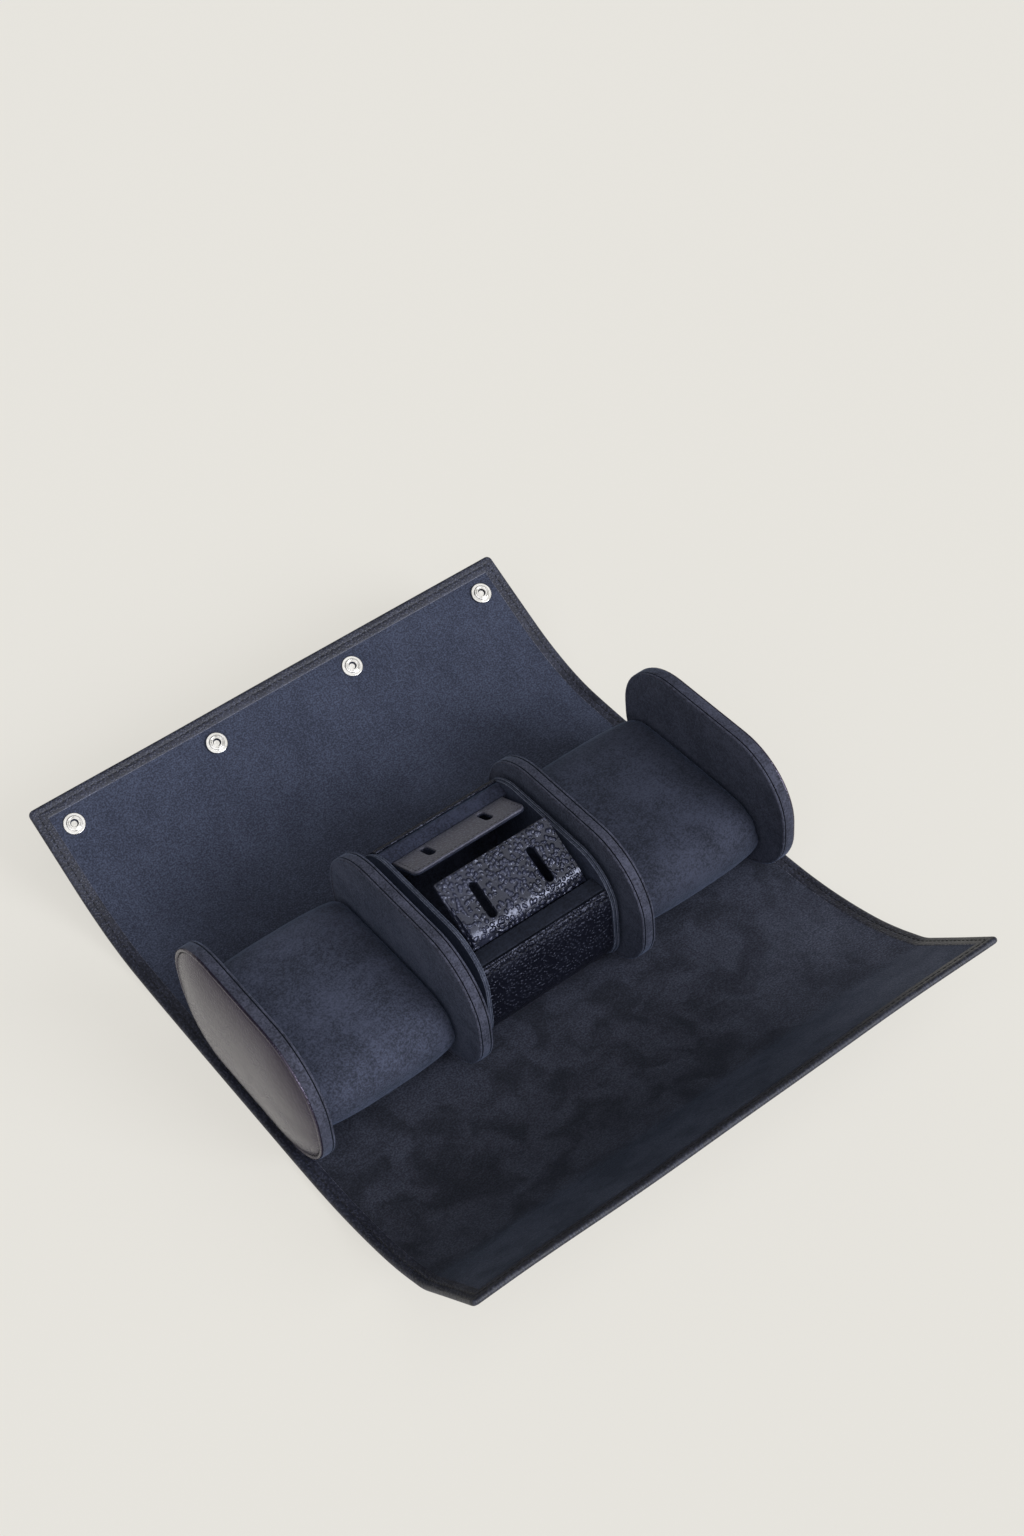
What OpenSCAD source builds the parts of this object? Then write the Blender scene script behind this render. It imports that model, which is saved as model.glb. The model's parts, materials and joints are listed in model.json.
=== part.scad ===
// Watch roll: a leather wrap lined with suede that rolls up round a core of two
// end discs, two dividers, two watch pillows and a small tray with two leaves.
// Millimetres. X runs along the roll, +Y to the edge with the sockets, +Z up.
// The origin is the middle of the bottom of the whole open roll.

/* [Wrap] */
// How far the wrap reaches past the left end disc
left_margin = 4.3; // [2:0.1:20]
// How far the wrap reaches past the right end disc
right_margin = 9.5; // [2:0.1:20]
// Thickness of the outer leather
leather_t = 1.5; // [1:0.1:2]
// Thickness of the suede lining
lining_t = 1.5; // [1:0.1:2]
// Width of the leather edge turned over the lining
turn_w = 8; // [5:0.5:10]
// Corner radius at the flaps' free ends
corner_r = 3; // [1:0.5:10]
// Front flap's length past its last fold
front_flap = 57.5; // [50:0.5:66]
// Rear flap's length past its last fold
rear_flap = 59.7; // [50:0.1:66]
// Thickness of the stiffening board under the core
base_board_t = 0.7; // [0.4:0.1:0.9]
// Margin of that board inside the lining's edge
base_board_margin = 4; // [2:0.5:10]

/* [Flaps as they lie open] */
// Rise at the front flap's first fold, in degrees
front_angle_1 = 2; // [1:0.5:6]
// Rise at its second fold
front_angle_2 = 7.5; // [1:0.5:12]
// Rise at its third fold
front_angle_3 = 6.5; // [1:0.5:12]
// Rise at its fourth fold
front_angle_4 = 11.5; // [1:0.5:16]
// Rise at its fifth fold
front_angle_5 = 16.2; // [1:0.1:20]
// Rise at the rear flap's first fold
rear_angle_1 = 0.4; // [0.2:0.1:4]
// Rise at its second fold
rear_angle_2 = 0.4; // [0.2:0.1:4]
// Rise at its third fold
rear_angle_3 = 2.6; // [0.2:0.1:8]
// Rise at its fourth fold
rear_angle_4 = 15.8; // [1:0.1:20]
// Rise at its fifth fold
rear_angle_5 = 11.7; // [1:0.1:18]

/* [Press studs] */
// Number of press studs
snap_count = 4; // [2:1:4]
// Distance of the end press studs from the wrap's sides
snap_side = 17.45; // [15.5:0.05:40]
// Distance of the sockets from the rear flap's edge
snap_edge = 17; // [14:0.5:24]
// Diameter of a socket's flange
socket_d = 11.5; // [10:0.1:13]
// Height of a socket over the lining
socket_h = 1.6; // [1.2:0.1:2]
// Diameter of the hole in a socket
socket_bore = 4.4; // [4:0.1:5]
// Thickness of a socket's flange
socket_flange_t = 0.7; // [0.5:0.1:1]
// Width of that flange outside the collar
socket_flange_w = 1.6; // [1:0.1:2]
// Radius of the collar's rolled top
socket_roll_r = 0.5; // [0.3:0.1:0.6]
// Distance of the groove in a collar from the hole
socket_groove_in = 0.9; // [0.6:0.1:1.2]
// Radius of that groove
socket_groove_r = 0.3; // [0.1:0.1:0.4]
// Diameter of a stud's flange
stud_d = 9.6; // [8:0.1:11]
// Height of a stud's flange over the leather
stud_flange_h = 0.8; // [0.5:0.1:1]
// How much narrower a stud's head is than the hole in a socket
stud_play = 0.5; // [0.2:0.1:0.8]
// How much narrower its waist is than its head
stud_waist = 0.6; // [0.2:0.1:1]
// How far its head stays under the collar's top
stud_short = 0.1; // [0.1:0.1:0.4]
// Diameter of a rivet post
post_d = 3.2; // [2.6:0.1:3.6]
// Diameter of a cap on the outside
cap_d = 12.5; // [11:0.1:14]
// Height of a cap's dome
cap_h = 1.8; // [1:0.1:2.5]
// Diameter of the washer behind a stud
washer_d = 9; // [7:0.1:10]
// Thickness of that washer
washer_t = 0.5; // [0.3:0.1:0.8]

/* [End discs and dividers] */
// Width of a disc, front to rear
disc_w = 120; // [110:1:126]
// Height of a disc
disc_h = 80; // [76:0.5:92]
// Corner radius of a disc
disc_r = 36; // [30:0.5:38]
// Thickness of an end disc
disc_t = 8; // [6.5:0.5:10]
// Thickness of a divider
divider_t = 7.7; // [6.5:0.1:10]
// How far the dividers stand forward of the discs
divider_shift = 2.5; // [0:0.5:4]
// Thickness of the board inside a disc or divider
disc_board_t = 3.6; // [2:0.1:4]
// Thickness of the suede over a disc's edge and faces
cover_t = 1.4; // [1:0.1:1.8]
// Width of the raised lip round a suede face
lip_w = 1.4; // [0.8:0.1:3]
// Height of that lip
lip_h = 0.4; // [0.2:0.1:0.6]
// Thickness of the leather on an end disc's outer face
face_t = 1.2; // [0.8:0.1:1.5]
// How far that leather stays inside the suede's edge
face_inset = 0.4; // [0.2:0.1:1]
// How far the padded middle of that leather face stands out
face_pad = 0.6; // [0.3:0.1:0.8]
// Width of the flat rim round the padded middle
face_rim = 3.5; // [2:0.5:8]

/* [Bays] */
// Clear width of the left watch bay
left_bay = 78.6; // [70:0.1:90]
// Clear width of the right watch bay
right_bay = 81.8; // [70:0.1:82]
// Least gap between a closed flap and the discs' tops
roof_gap = 0.9; // [0.5:0.1:3]
// Least gap between a closed flap and the discs' corners
corner_gap = 0.5; // [0.4:0.1:3]

/* [Watch pillows] */
// Depth of a pillow, front to rear
pillow_d = 108; // [90:1:112]
// Height of a pillow at its ends
pillow_h = 39; // [30:0.5:39]
// How much the pillow's top is crowned
pillow_crown = 1.6; // [0.5:0.1:3]
// How much a pillow's outline is drawn in at its ends
pillow_draw = 1.6; // [0.5:0.1:3]
// Radius of a pillow's end edges
pillow_edge_r = 3; // [1:0.5:5]
// Gap under a pillow for a watch strap
strap_gap = 7.5; // [5:0.5:10]
// How far a pillow's rear stays inside the discs' rear
pillow_back = 1; // [1:0.5:6]
// Gap between a pillow and the face beside it
pillow_gap = 0.3; // [0.2:0.1:0.6]
// Thickness of a pillow's suede cover and wadding round its foam
pillow_cover_t = 6.5; // [6:0.5:9]

/* [Tray] */
// Width of the tray, along the roll
tray_w = 78; // [70:0.5:90]
// Gap between the tray and the left divider
tray_left_gap = 7.7; // [1:0.1:10]
// Gap between the tray and the right divider
tray_right_gap = 2.5; // [1:0.1:10]
// Depth of the end plates, front to rear
plate_w = 100.4; // [96:0.2:101]
// Height of the end plates
plate_h = 70; // [66:0.5:74]
// Corner radius of the end plates
plate_r = 26; // [25:0.5:28]
// How far the tray's middle is behind the core's middle
tray_shift = 2.2; // [1.6:0.1:3]
// Thickness of one layer of an end plate
layer_t = 1.5; // [1:0.1:3]
// How far the inner layer's edge stays under the outer layer's
layer_inset = 0.6; // [0.3:0.1:1.2]
// How far the front wall stays behind the plates' front
front_inset = 1.5; // [1:0.1:5]
// How far the rest of the shell stays inside the plates' outline
shell_inset = 0.5; // [0.3:0.1:1]
// Height of the shell's underside over the plates' feet
shell_foot = 1.5; // [1:0.1:2]
// Corner radius of the shell
shell_r = 24; // [22:0.5:25]
// Thickness of the shell's leather
shell_leather_t = 1.2; // [0.8:0.1:1.5]
// Thickness of the shell's board
shell_board_t = 2.4; // [2:0.1:3]
// Thickness of the shell's suede
shell_suede_t = 1; // [0.6:0.1:1.5]
// Height of the front rim over the base lining
front_rim_h = 58; // [54:0.5:60]
// Height of the rear rim over the base lining
rear_rim_h = 65.3; // [62:0.1:66]
// Width of the front ledge
ledge_w = 8.6; // [7:0.1:11]
// Thickness of the front ledge
ledge_t = 3; // [2:0.1:4]
// Width of the sloping shoulder at the rear rim
shoulder_w = 6.4; // [3:0.1:8]
// Fall of that shoulder towards the leaf
shoulder_fall = 2.2; // [1:0.1:3]
// Thickness of the shoulder
shoulder_t = 2.2; // [1.5:0.1:3]

/* [Leaves] */
// Thickness of a leaf's leather
leaf_leather_t = 1.2; // [0.8:0.1:1.6]
// Thickness of a leaf's lining
leaf_lining_t = 0.8; // [0.5:0.1:1.2]
// Side gap between the front leaf and the plates
front_leaf_gap = 3.1; // [0.5:0.1:5]
// Length of the front leaf past its bend
front_leaf_l = 26.8; // [24:0.1:32]
// Radius of the front leaf's bend
bend_r = 10.5; // [8:0.5:16]
// Angle of that bend
bend_a = 57; // [25:0.5:60]
// Slope of the front leaf as it lies open
front_leaf_slope = 28; // [25:0.5:31]
// Depth of the front leaf's fold line under the ledge
front_hinge_drop = 0.2; // [0:0.1:2.5]
// Gap between a leaf's fold line and what carries it
hinge_gap = 0.3; // [0.2:0.1:0.6]
// Corner radius at the front leaf's free edge
front_leaf_r = 1.2; // [0.5:0.1:4]
// Side gap between the rear leaf and the plates
rear_leaf_gap = 3.3; // [1:0.1:6]
// Length of the rear leaf
rear_leaf_l = 22.5; // [20:0.5:27.5]
// Slope of the rear leaf as it lies open
rear_leaf_slope = 26; // [20:1:36]
// Corner radius at the rear leaf's free edge
rear_leaf_r = 4; // [1:0.5:8]
// Width of a slot in a leaf
slot_w = 3.9; // [3:0.1:5]
// Distance of the slots from a leaf's free edge
slot_edge = 8.4; // [5:0.1:9]
// Length of the front leaf's slots
front_slot_l = 19; // [12:0.5:22]
// Distance of the front leaf's slots from its middle
front_slot_x = 16.7; // [10:0.1:26]
// Length of the rear leaf's slots
rear_slot_l = 11.5; // [8:0.5:16]
// Distance of the rear leaf's slots from its middle
rear_slot_x = 16.9; // [10:0.1:24]

/* [Hidden] */
$fn = 72;
folds = 5;
fold_turn = 180 / folds;
wrap_t = leather_t + lining_t;
// Clear width of the tray's bay, which follows the tray
tray_bay = tray_left_gap + tray_w + tray_right_gap;
core_w = 2 * disc_t + 2 * divider_t + left_bay + tray_bay + right_bay;
wrap_w = left_margin + core_w + right_margin;
// How far the core's middle is to the left of the wrap's middle
core_shift = (right_margin - left_margin) / 2;
snap_pitch = (wrap_w - 2 * snap_side) / (snap_count - 1);
// Cuts reach this far past what they cut
over = 1;
post_clear = 0.1;
snap_clear = 0.1;
fit = 0.1;

// Height that a chain of strips of length 1 climbs from the first fold to the last
climb = sin(fold_turn) + sin(2 * fold_turn) + sin(3 * fold_turn) + sin(4 * fold_turn);
front_roof = disc_h + roof_gap;
snap_stack = socket_h + stud_flange_h + snap_clear;
rear_roof = front_roof + wrap_t + snap_stack;
front_strip = front_roof / climb;
rear_strip = rear_roof / climb;
// Half width of the flat base on each side, so that a closed flap clears the discs' corners
rear_base = disc_w / 2 - disc_r + (disc_r * (1 - cos(fold_turn)) + corner_gap) / sin(fold_turn);
front_base = rear_base + divider_shift;

front_turns = [front_angle_1, front_angle_2, front_angle_3, front_angle_4, front_angle_5];
rear_turns = [rear_angle_1, rear_angle_2, rear_angle_3, rear_angle_4, rear_angle_5];
// Slope of strip k, and place of its fold line, in the plane across the roll
function slope(turns, k) = k == 0 ? 0 : turns[k - 1] + slope(turns, k - 1);
function fold_y(turns, base, strip, k) =
    k == 1 ? base : fold_y(turns, base, strip, k - 1) + strip * cos(slope(turns, k - 1));
function fold_z(turns, strip, k) =
    k == 1 ? wrap_t : fold_z(turns, strip, k - 1) + strip * sin(slope(turns, k - 1));
function reach(turns, base, strip, flap) =
    fold_y(turns, base, strip, folds) + flap * cos(slope(turns, folds)) + wrap_t * sin(slope(turns, folds));
front_reach = reach(front_turns, front_base, front_strip, front_flap);
rear_reach = reach(rear_turns, rear_base, rear_strip, rear_flap);
mid_y = (rear_reach - front_reach) / 2;
base_l = front_base + rear_base;

// Faces across the core, from left to right
x_left_disc = -core_w / 2;
x_left_divider = x_left_disc + disc_t + left_bay;
x_right_divider = x_left_divider + divider_t + tray_bay;
x_right_disc = x_right_divider + divider_t + right_bay;
x_left_bay = x_left_disc + disc_t;
x_right_bay = x_right_divider + divider_t;
x_tray = x_left_divider + divider_t + tray_left_gap;

// Where the sockets lie along the closed front flap
stud_y = base_l - (rear_flap - snap_edge);
socket_y = rear_flap - snap_edge;

// The middle of a pillow's section, and its round ends' radius
pillow_r = pillow_h / 2;
pillow_mid_y = disc_w / 2 - pillow_back - pillow_d / 2;
pillow_mid_z = wrap_t + strap_gap + pillow_r;
// Facets of a pillow: round an end, along its top, round its edges and along the roll
arc_steps = 10;
flat_steps = 6;
edge_steps = 3;
loft_steps = 8;

// The tray's shell across the roll
shell_front = tray_shift - plate_w / 2 + front_inset;
shell_rear = tray_shift + plate_w / 2 - shell_inset;
shell_low = wrap_t + shell_foot;
shell_high = wrap_t + plate_h - shell_inset;
shell_t = shell_leather_t + shell_board_t + shell_suede_t;
front_rim_z = wrap_t + front_rim_h;
rear_rim_z = wrap_t + rear_rim_h;
arc_z = shell_high - shell_r;
inner_r = shell_r - shell_leather_t;
// The leather's inner face at the rims, where the ledge and the shoulder start
ledge_y = shell_front + shell_r - sqrt(pow(inner_r, 2) - pow(front_rim_z - arc_z, 2)) + fit;
shoulder_y = shell_rear - shell_r + sqrt(pow(inner_r, 2) - pow(rear_rim_z - arc_z, 2)) - fit;
shoulder_low = rear_rim_z - shoulder_fall - shoulder_t;
shoulder_foot_y = shell_rear - shell_r + sqrt(pow(inner_r, 2) - pow(shoulder_low - arc_z, 2)) - fit;
x_tray_in = x_tray + 2 * layer_t;
tray_in = tray_w - 4 * layer_t;
// Fold lines of the leaves
leaf_t = leaf_leather_t + leaf_lining_t;
front_hinge_y = ledge_y + ledge_w + hinge_gap;
front_hinge_z = front_rim_z - front_hinge_drop;
rear_hinge_y = shoulder_y - shoulder_w - hinge_gap;
rear_hinge_z = rear_rim_z - shoulder_fall;

suede = [0.19, 0.23, 0.31];
leather = [0.1, 0.12, 0.2];
board = [0.55, 0.5, 0.42];
foam = [0.8, 0.8, 0.75];
nickel = [0.78, 0.78, 0.76];

// Places: the core's own frame, and the strips of each flap
module at_core() {
    translate([-core_shift, -mid_y, 0]) children();
}

module at_rear(k) {
    translate([0, fold_y(rear_turns, rear_base, rear_strip, k) - mid_y, fold_z(rear_turns, rear_strip, k)])
        rotate([slope(rear_turns, k), 0, 0])
            children();
}

module at_front(k) {
    translate([0, -mid_y, 0])
        mirror([0, 1, 0])
            translate([0, fold_y(front_turns, front_base, front_strip, k), fold_z(front_turns, front_strip, k)])
                rotate([slope(front_turns, k), 0, 0])
                    children();
}

// A plate that stands across the roll: its outline is drawn with Y and Z as the page
module across(x, t) {
    translate([x, 0, 0])
        rotate([90, 0, 90])
            linear_extrude(t)
                children();
}

// Rounded rectangle round the page's middle
module rounded(w, h, r) {
    square([w - 2 * r, h], center = true);
    square([w, h - 2 * r], center = true);
    for (x = [-1, 1])
        for (y = [-1, 1])
            translate([x * (w / 2 - r), y * (h / 2 - r)])
                circle(r);
}

// Outline of a strip of the wrap, with round corners at a free end
module strip_outline(l, r) {
    translate([-wrap_w / 2, 0])
        square([wrap_w, l - r]);
    translate([-wrap_w / 2 + r, 0])
        square([wrap_w - 2 * r, l]);
    if (r > 0)
        for (s = [-1, 1])
            translate([s * (wrap_w / 2 - r), l - r])
                circle(r);
}

// Leather of a strip: turned edges at its sides, and at a free end, frame the lining
module strip_leather(l, free = false) {
    color(leather)
        difference() {
            translate([0, 0, -wrap_t])
                linear_extrude(wrap_t)
                    strip_outline(l, free ? corner_r : 0);
            translate([-wrap_w / 2 + turn_w, -over, -lining_t])
                cube([wrap_w - 2 * turn_w, l + over + (free ? -turn_w : over), lining_t + over]);
            children();
        }
}

module strip_lining(l, free = false) {
    color(suede)
        difference() {
            translate([-wrap_w / 2 + turn_w, 0, -lining_t])
                cube([wrap_w - 2 * turn_w, l - (free ? turn_w : 0), lining_t]);
            children();
        }
}

// One child at each press stud's place along the roll
module each_snap(y) {
    for (k = [0:snap_count - 1])
        translate([(k - (snap_count - 1) / 2) * snap_pitch, y, 0])
            children();
}

module post_holes(y) {
    each_snap(y)
        translate([0, 0, -wrap_t - over])
            cylinder(h = wrap_t + 2 * over, d = post_d + 2 * post_clear);
}

// Base under the core
module base_leather() {
    translate([0, -front_base - mid_y, wrap_t])
        strip_leather(base_l)
            base_board_pocket();
}

module base_board_pocket(gap = fit) {
    translate([-wrap_w / 2 + turn_w + base_board_margin - gap, base_board_margin - gap, -lining_t - base_board_t])
        cube([
            wrap_w - 2 * turn_w - 2 * base_board_margin + 2 * gap,
            base_l - 2 * base_board_margin + 2 * gap,
            base_board_t
        ]);
}

module base_board() {
    color(board)
        translate([0, -front_base - mid_y, wrap_t])
            base_board_pocket(0);
}

module base_lining() {
    translate([0, -front_base - mid_y, wrap_t])
        strip_lining(base_l);
}

// Strips of the flaps; the last of each carries its half of the press studs
module front_leather(k) {
    at_front(k)
        if (k < folds)
            strip_leather(front_strip);
        else
            strip_leather(front_flap, true)
                post_holes(stud_y);
}

module front_lining(k) {
    at_front(k)
        if (k < folds)
            strip_lining(front_strip);
        else
            strip_lining(front_flap, true)
                each_snap(stud_y)
                    translate([0, 0, -lining_t - over])
                        cylinder(h = over + washer_t + fit, d = washer_d + 2 * fit);
}

module rear_leather(k) {
    at_rear(k)
        if (k < folds)
            strip_leather(rear_strip);
        else
            strip_leather(rear_flap, true)
                post_holes(socket_y);
}

module rear_lining(k) {
    at_rear(k)
        if (k < folds)
            strip_lining(rear_strip);
        else
            strip_lining(rear_flap, true)
                post_holes(socket_y);
}

// Press studs. A socket is a pressed ring: flat flange, raised collar, rolled mouth
module snap_sockets() {
    rim_r = socket_flange_t / 2;
    collar_r = socket_d / 2 - socket_flange_w;
    mouth_r = socket_bore / 2;
    color(nickel)
        at_rear(folds)
            each_snap(socket_y)
                rotate_extrude()
                    difference() {
                        union() {
                            translate([mouth_r, 0])
                                square([socket_d / 2 - mouth_r - rim_r, socket_flange_t]);
                            translate([socket_d / 2 - rim_r, rim_r])
                                circle(rim_r);
                            translate([mouth_r, 0])
                                square([collar_r - mouth_r - socket_roll_r, socket_h]);
                            translate([mouth_r, 0])
                                square([collar_r - mouth_r, socket_h - socket_roll_r]);
                            translate([collar_r - socket_roll_r, socket_h - socket_roll_r])
                                circle(socket_roll_r);
                        }
                        translate([mouth_r + socket_groove_in, socket_h])
                            circle(socket_groove_r);
                    }
}

// A cap: low dome outside, with the rivet post through leather and lining
module snap_caps() {
    dome_r = (pow(cap_d / 2, 2) + pow(cap_h, 2)) / (2 * cap_h);
    color(nickel)
        at_rear(folds)
            each_snap(socket_y)
                translate([0, 0, -wrap_t]) {
                    intersection() {
                        translate([0, 0, dome_r - cap_h])
                            sphere(dome_r);
                        translate([0, 0, -cap_h])
                            cylinder(h = cap_h, d = cap_d);
                    }
                    cylinder(h = wrap_t, d = post_d);
                }
}

// A stud: flange on the leather's outside, head with a waist that the socket grips
module snap_studs() {
    head_d = socket_bore - stud_play;
    head_h = socket_h - stud_short;
    waist_d = head_d - stud_waist;
    color(nickel)
        at_front(folds)
            each_snap(stud_y)
                translate([0, 0, -wrap_t])
                    mirror([0, 0, 1]) {
                        cylinder(h = stud_flange_h, d = stud_d);
                        cylinder(h = stud_flange_h + head_h, d = waist_d);
                        translate([0, 0, stud_flange_h + head_h / 2])
                            cylinder(h = head_h / 2, d = head_d);
                        translate([0, 0, -leather_t])
                            cylinder(h = leather_t, d = post_d);
                    }
}

module stud_washers() {
    color(nickel)
        at_front(folds)
            each_snap(stud_y)
                translate([0, 0, -lining_t])
                    cylinder(h = washer_t, d = washer_d);
}

// A disc or divider outline, grown inwards by e
module disc_face(e = 0) {
    translate([0, wrap_t + disc_h / 2])
        rounded(disc_w - 2 * e, disc_h - 2 * e, disc_r - e);
}

// End disc, drawn for the left end with its outer face at x = 0
module disc_suede() {
    color(suede)
        difference() {
            across(face_t, disc_t - face_t)
                disc_face();
            across(face_t - over, over + disc_board_t + fit)
                disc_face(cover_t);
            across(disc_t - lip_h, over)
                disc_face(lip_w);
        }
}

module disc_board() {
    color(board)
        across(face_t, disc_board_t)
            disc_face(cover_t + fit);
}

module disc_leather() {
    color(leather) {
        difference() {
            across(0, face_t)
                disc_face(face_inset);
            across(-over, over + face_pad)
                disc_face(face_rim / 2);
        }
        across(0, face_pad)
            disc_face(face_rim);
    }
}

module at_left_disc() {
    at_core()
        translate([x_left_disc, 0, 0])
            children();
}

module at_right_disc() {
    at_core()
        translate([x_right_disc + disc_t, 0, 0])
            mirror([1, 0, 0])
                children();
}

// Divider: a board closed into a suede cover with a lip round each face
module divider_suede(x) {
    color(suede)
        at_core()
            translate([x, -divider_shift, 0])
                difference() {
                    across(0, divider_t)
                        disc_face();
                    across((divider_t - disc_board_t) / 2 - fit, disc_board_t + 2 * fit)
                        disc_face(cover_t);
                    across(-over, over + lip_h)
                        disc_face(lip_w);
                    across(divider_t - lip_h, over)
                        disc_face(lip_w);
                }
}

module divider_board(x) {
    color(board)
        at_core()
            translate([x, -divider_shift, 0])
                across((divider_t - disc_board_t) / 2, disc_board_t)
                    disc_face(cover_t + fit);
}

// Watch pillow: a closed cushion, lofted along the roll through crowned, round-ended
// sections that draw in towards the two end faces
// One section's points: rear round, crowned top, front round, flat bottom
function section(e) = let(
        r = pillow_r - e,
        a = pillow_d / 2 - pillow_r,
        lift = pillow_crown * (1 - e / pillow_r)
    ) concat(
        [for (i = [0:arc_steps]) let(t = -90 + 180 * i / arc_steps) [a + r * cos(t), r * sin(t)]],
        [for (i = [1:flat_steps - 1]) let(u = 1 - 2 * i / flat_steps) [a * u, r + lift * (1 - u * u)]],
        [for (i = [0:arc_steps]) let(t = 90 + 180 * i / arc_steps) [-a + r * cos(t), r * sin(t)]],
        [for (i = [1:flat_steps - 1]) let(u = 2 * i / flat_steps - 1) [a * u, -r]]
    );

// Rings along the roll: place as a share of the half width, and inset
function rings(w) = let(h = w / 2, m = h - pillow_edge_r) concat(
        [for (i = [0:edge_steps]) let(t = 90 * i / edge_steps)
            [-h + pillow_edge_r * (1 - cos(t)), pillow_draw + pillow_edge_r * (1 - sin(t))]],
        [for (i = [1:loft_steps - 1]) let(u = 2 * i / loft_steps - 1)
            [m * u, pillow_draw * pow(abs(u), 3)]],
        [for (i = [edge_steps:-1:0]) let(t = 90 * i / edge_steps)
            [h - pillow_edge_r * (1 - cos(t)), pillow_draw + pillow_edge_r * (1 - sin(t))]]
    );

module cushion(w) {
    ring = rings(w);
    n = len(section(0));
    m = len(ring);
    points = [for (g = ring) for (p = section(g[1])) [g[0], p[0], p[1]]];
    sides = [for (j = [0:m - 2]) for (i = [0:n - 1]) for (h = [0, 1])
        let(a = j * n + i, b = j * n + (i + 1) % n)
            h == 0 ? [a, b, b + n] : [a, b + n, a + n]];
    left = [for (i = [1:n - 2]) [0, i + 1, i]];
    right = [for (i = [1:n - 2]) [(m - 1) * n, (m - 1) * n + i, (m - 1) * n + i + 1]];
    polyhedron(points, concat(sides, left, right));
}

module foam_outline(e) {
    translate([pillow_mid_y, pillow_mid_z])
        rounded(pillow_d - 2 * e, pillow_h - 2 * e, pillow_r - e - fit);
}

module pillow(x, bay) {
    w = bay - 2 * pillow_gap;
    color(suede)
        at_core()
            difference() {
                translate([x + bay / 2, pillow_mid_y, pillow_mid_z])
                    cushion(w);
                across(x, bay)
                    foam_outline(pillow_cover_t);
            }
}

module pillow_foam(x, bay) {
    w = bay - 2 * pillow_gap;
    color(foam)
        at_core()
            across(x + pillow_gap, w)
                foam_outline(pillow_cover_t + fit);
}

// Tray shell: a ring round the tray from the front rim, under the floor, to the rear rim
module shell_ring(e, t, front_z, rear_z) {
    w = shell_rear - shell_front;
    h = shell_high - shell_low;
    difference() {
        translate([shell_front + w / 2, shell_low + h / 2])
            rounded(w - 2 * e, h - 2 * e, shell_r - e);
        translate([shell_front + w / 2, shell_low + h / 2])
            rounded(w - 2 * (e + t), h - 2 * (e + t), shell_r - e - t);
        translate([shell_front - over, front_z])
            square([w / 2 + over, h]);
        translate([shell_front, rear_z])
            square([w + over, h]);
    }
}

module tray_leather() {
    color(leather)
        at_core()
            across(x_tray_in, tray_in)
                shell_ring(0, shell_leather_t, front_rim_z, rear_rim_z);
}

module tray_board() {
    color(board)
        at_core()
            across(x_tray_in, tray_in)
                shell_ring(shell_leather_t, shell_board_t, front_rim_z - ledge_t, shoulder_low);
}

module tray_suede() {
    color(suede)
        at_core()
            across(x_tray_in, tray_in)
                shell_ring(shell_leather_t + shell_board_t, shell_suede_t, front_rim_z - ledge_t, shoulder_low);
}

module tray_ledge() {
    color(suede)
        at_core()
            translate([x_tray_in, ledge_y, front_rim_z - ledge_t])
                cube([tray_in, ledge_w, ledge_t]);
}

module tray_shoulder() {
    color(suede)
        at_core()
            across(x_tray_in, tray_in)
                polygon([
                    [shoulder_y, rear_rim_z],
                    [shoulder_y - shoulder_w, rear_rim_z - shoulder_fall],
                    [shoulder_y - shoulder_w, shoulder_low],
                    [shoulder_foot_y, shoulder_low]
                ]);
}

// End plates of the tray, two layers each
module plate_outline(e = 0) {
    translate([tray_shift, wrap_t + plate_h / 2])
        rounded(plate_w - 2 * e, plate_h - 2 * e, plate_r - e);
}

module plate_layer(x, e) {
    color(suede)
        at_core()
            across(x, layer_t)
                plate_outline(e);
}

// Leaves. Each is drawn level, with its fold line at the origin on its upper face
// and its free edge at +Y; a layer lies between depths a and b under that face.
module front_layer(a, b, w) {
    c = [bend_r * sin(bend_a), -bend_r * cos(bend_a)];
    far = 2 * bend_r;
    across(-w / 2, w) {
        intersection() {
            translate(c)
                difference() {
                    circle(bend_r - a);
                    circle(bend_r - b);
                }
            polygon([
                c,
                c + far * [0, 1],
                c + far * [-sin(bend_a / 2), cos(bend_a / 2)],
                c + far * [-sin(bend_a), cos(bend_a)]
            ]);
        }
        translate(c + [0, bend_r - b])
            square([front_leaf_l, b - a]);
    }
}

// A round-ended slot through a leaf, its far end at the origin
module slot(l) {
    translate([0, 0, -leaf_t - over])
        linear_extrude(leaf_t + 2 * over) {
            translate([-slot_w / 2, slot_w / 2 - l])
                square([slot_w, l - slot_w]);
            translate([0, -slot_w / 2])
                circle(slot_w / 2);
            translate([0, slot_w / 2 - l])
                circle(slot_w / 2);
        }
}

// What rounds the two free corners of a leaf whose free edge is at y = 0
module corner_cuts(w, r) {
    for (s = [0, 1])
        mirror([s, 0, 0])
            translate([w / 2 - r, -r, -leaf_t - over])
                linear_extrude(leaf_t + 2 * over)
                    difference() {
                        square(r + over);
                        circle(r);
                    }
}

module front_leaf_part(a, b) {
    w = tray_in - 2 * front_leaf_gap;
    edge_y = bend_r * sin(bend_a) + front_leaf_l;
    edge_z = bend_r * (1 - cos(bend_a));
    at_core()
        translate([x_tray + tray_w / 2, front_hinge_y, front_hinge_z])
            rotate([front_leaf_slope, 0, 0])
                difference() {
                    front_layer(a, b, w);
                    translate([0, edge_y, edge_z])
                        corner_cuts(w, front_leaf_r);
                    for (s = [-1, 1])
                        translate([s * front_slot_x, edge_y - slot_edge, edge_z])
                            slot(front_slot_l);
                }
}

module front_leaf() {
    color(leather)
        front_leaf_part(0, leaf_leather_t);
}

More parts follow.
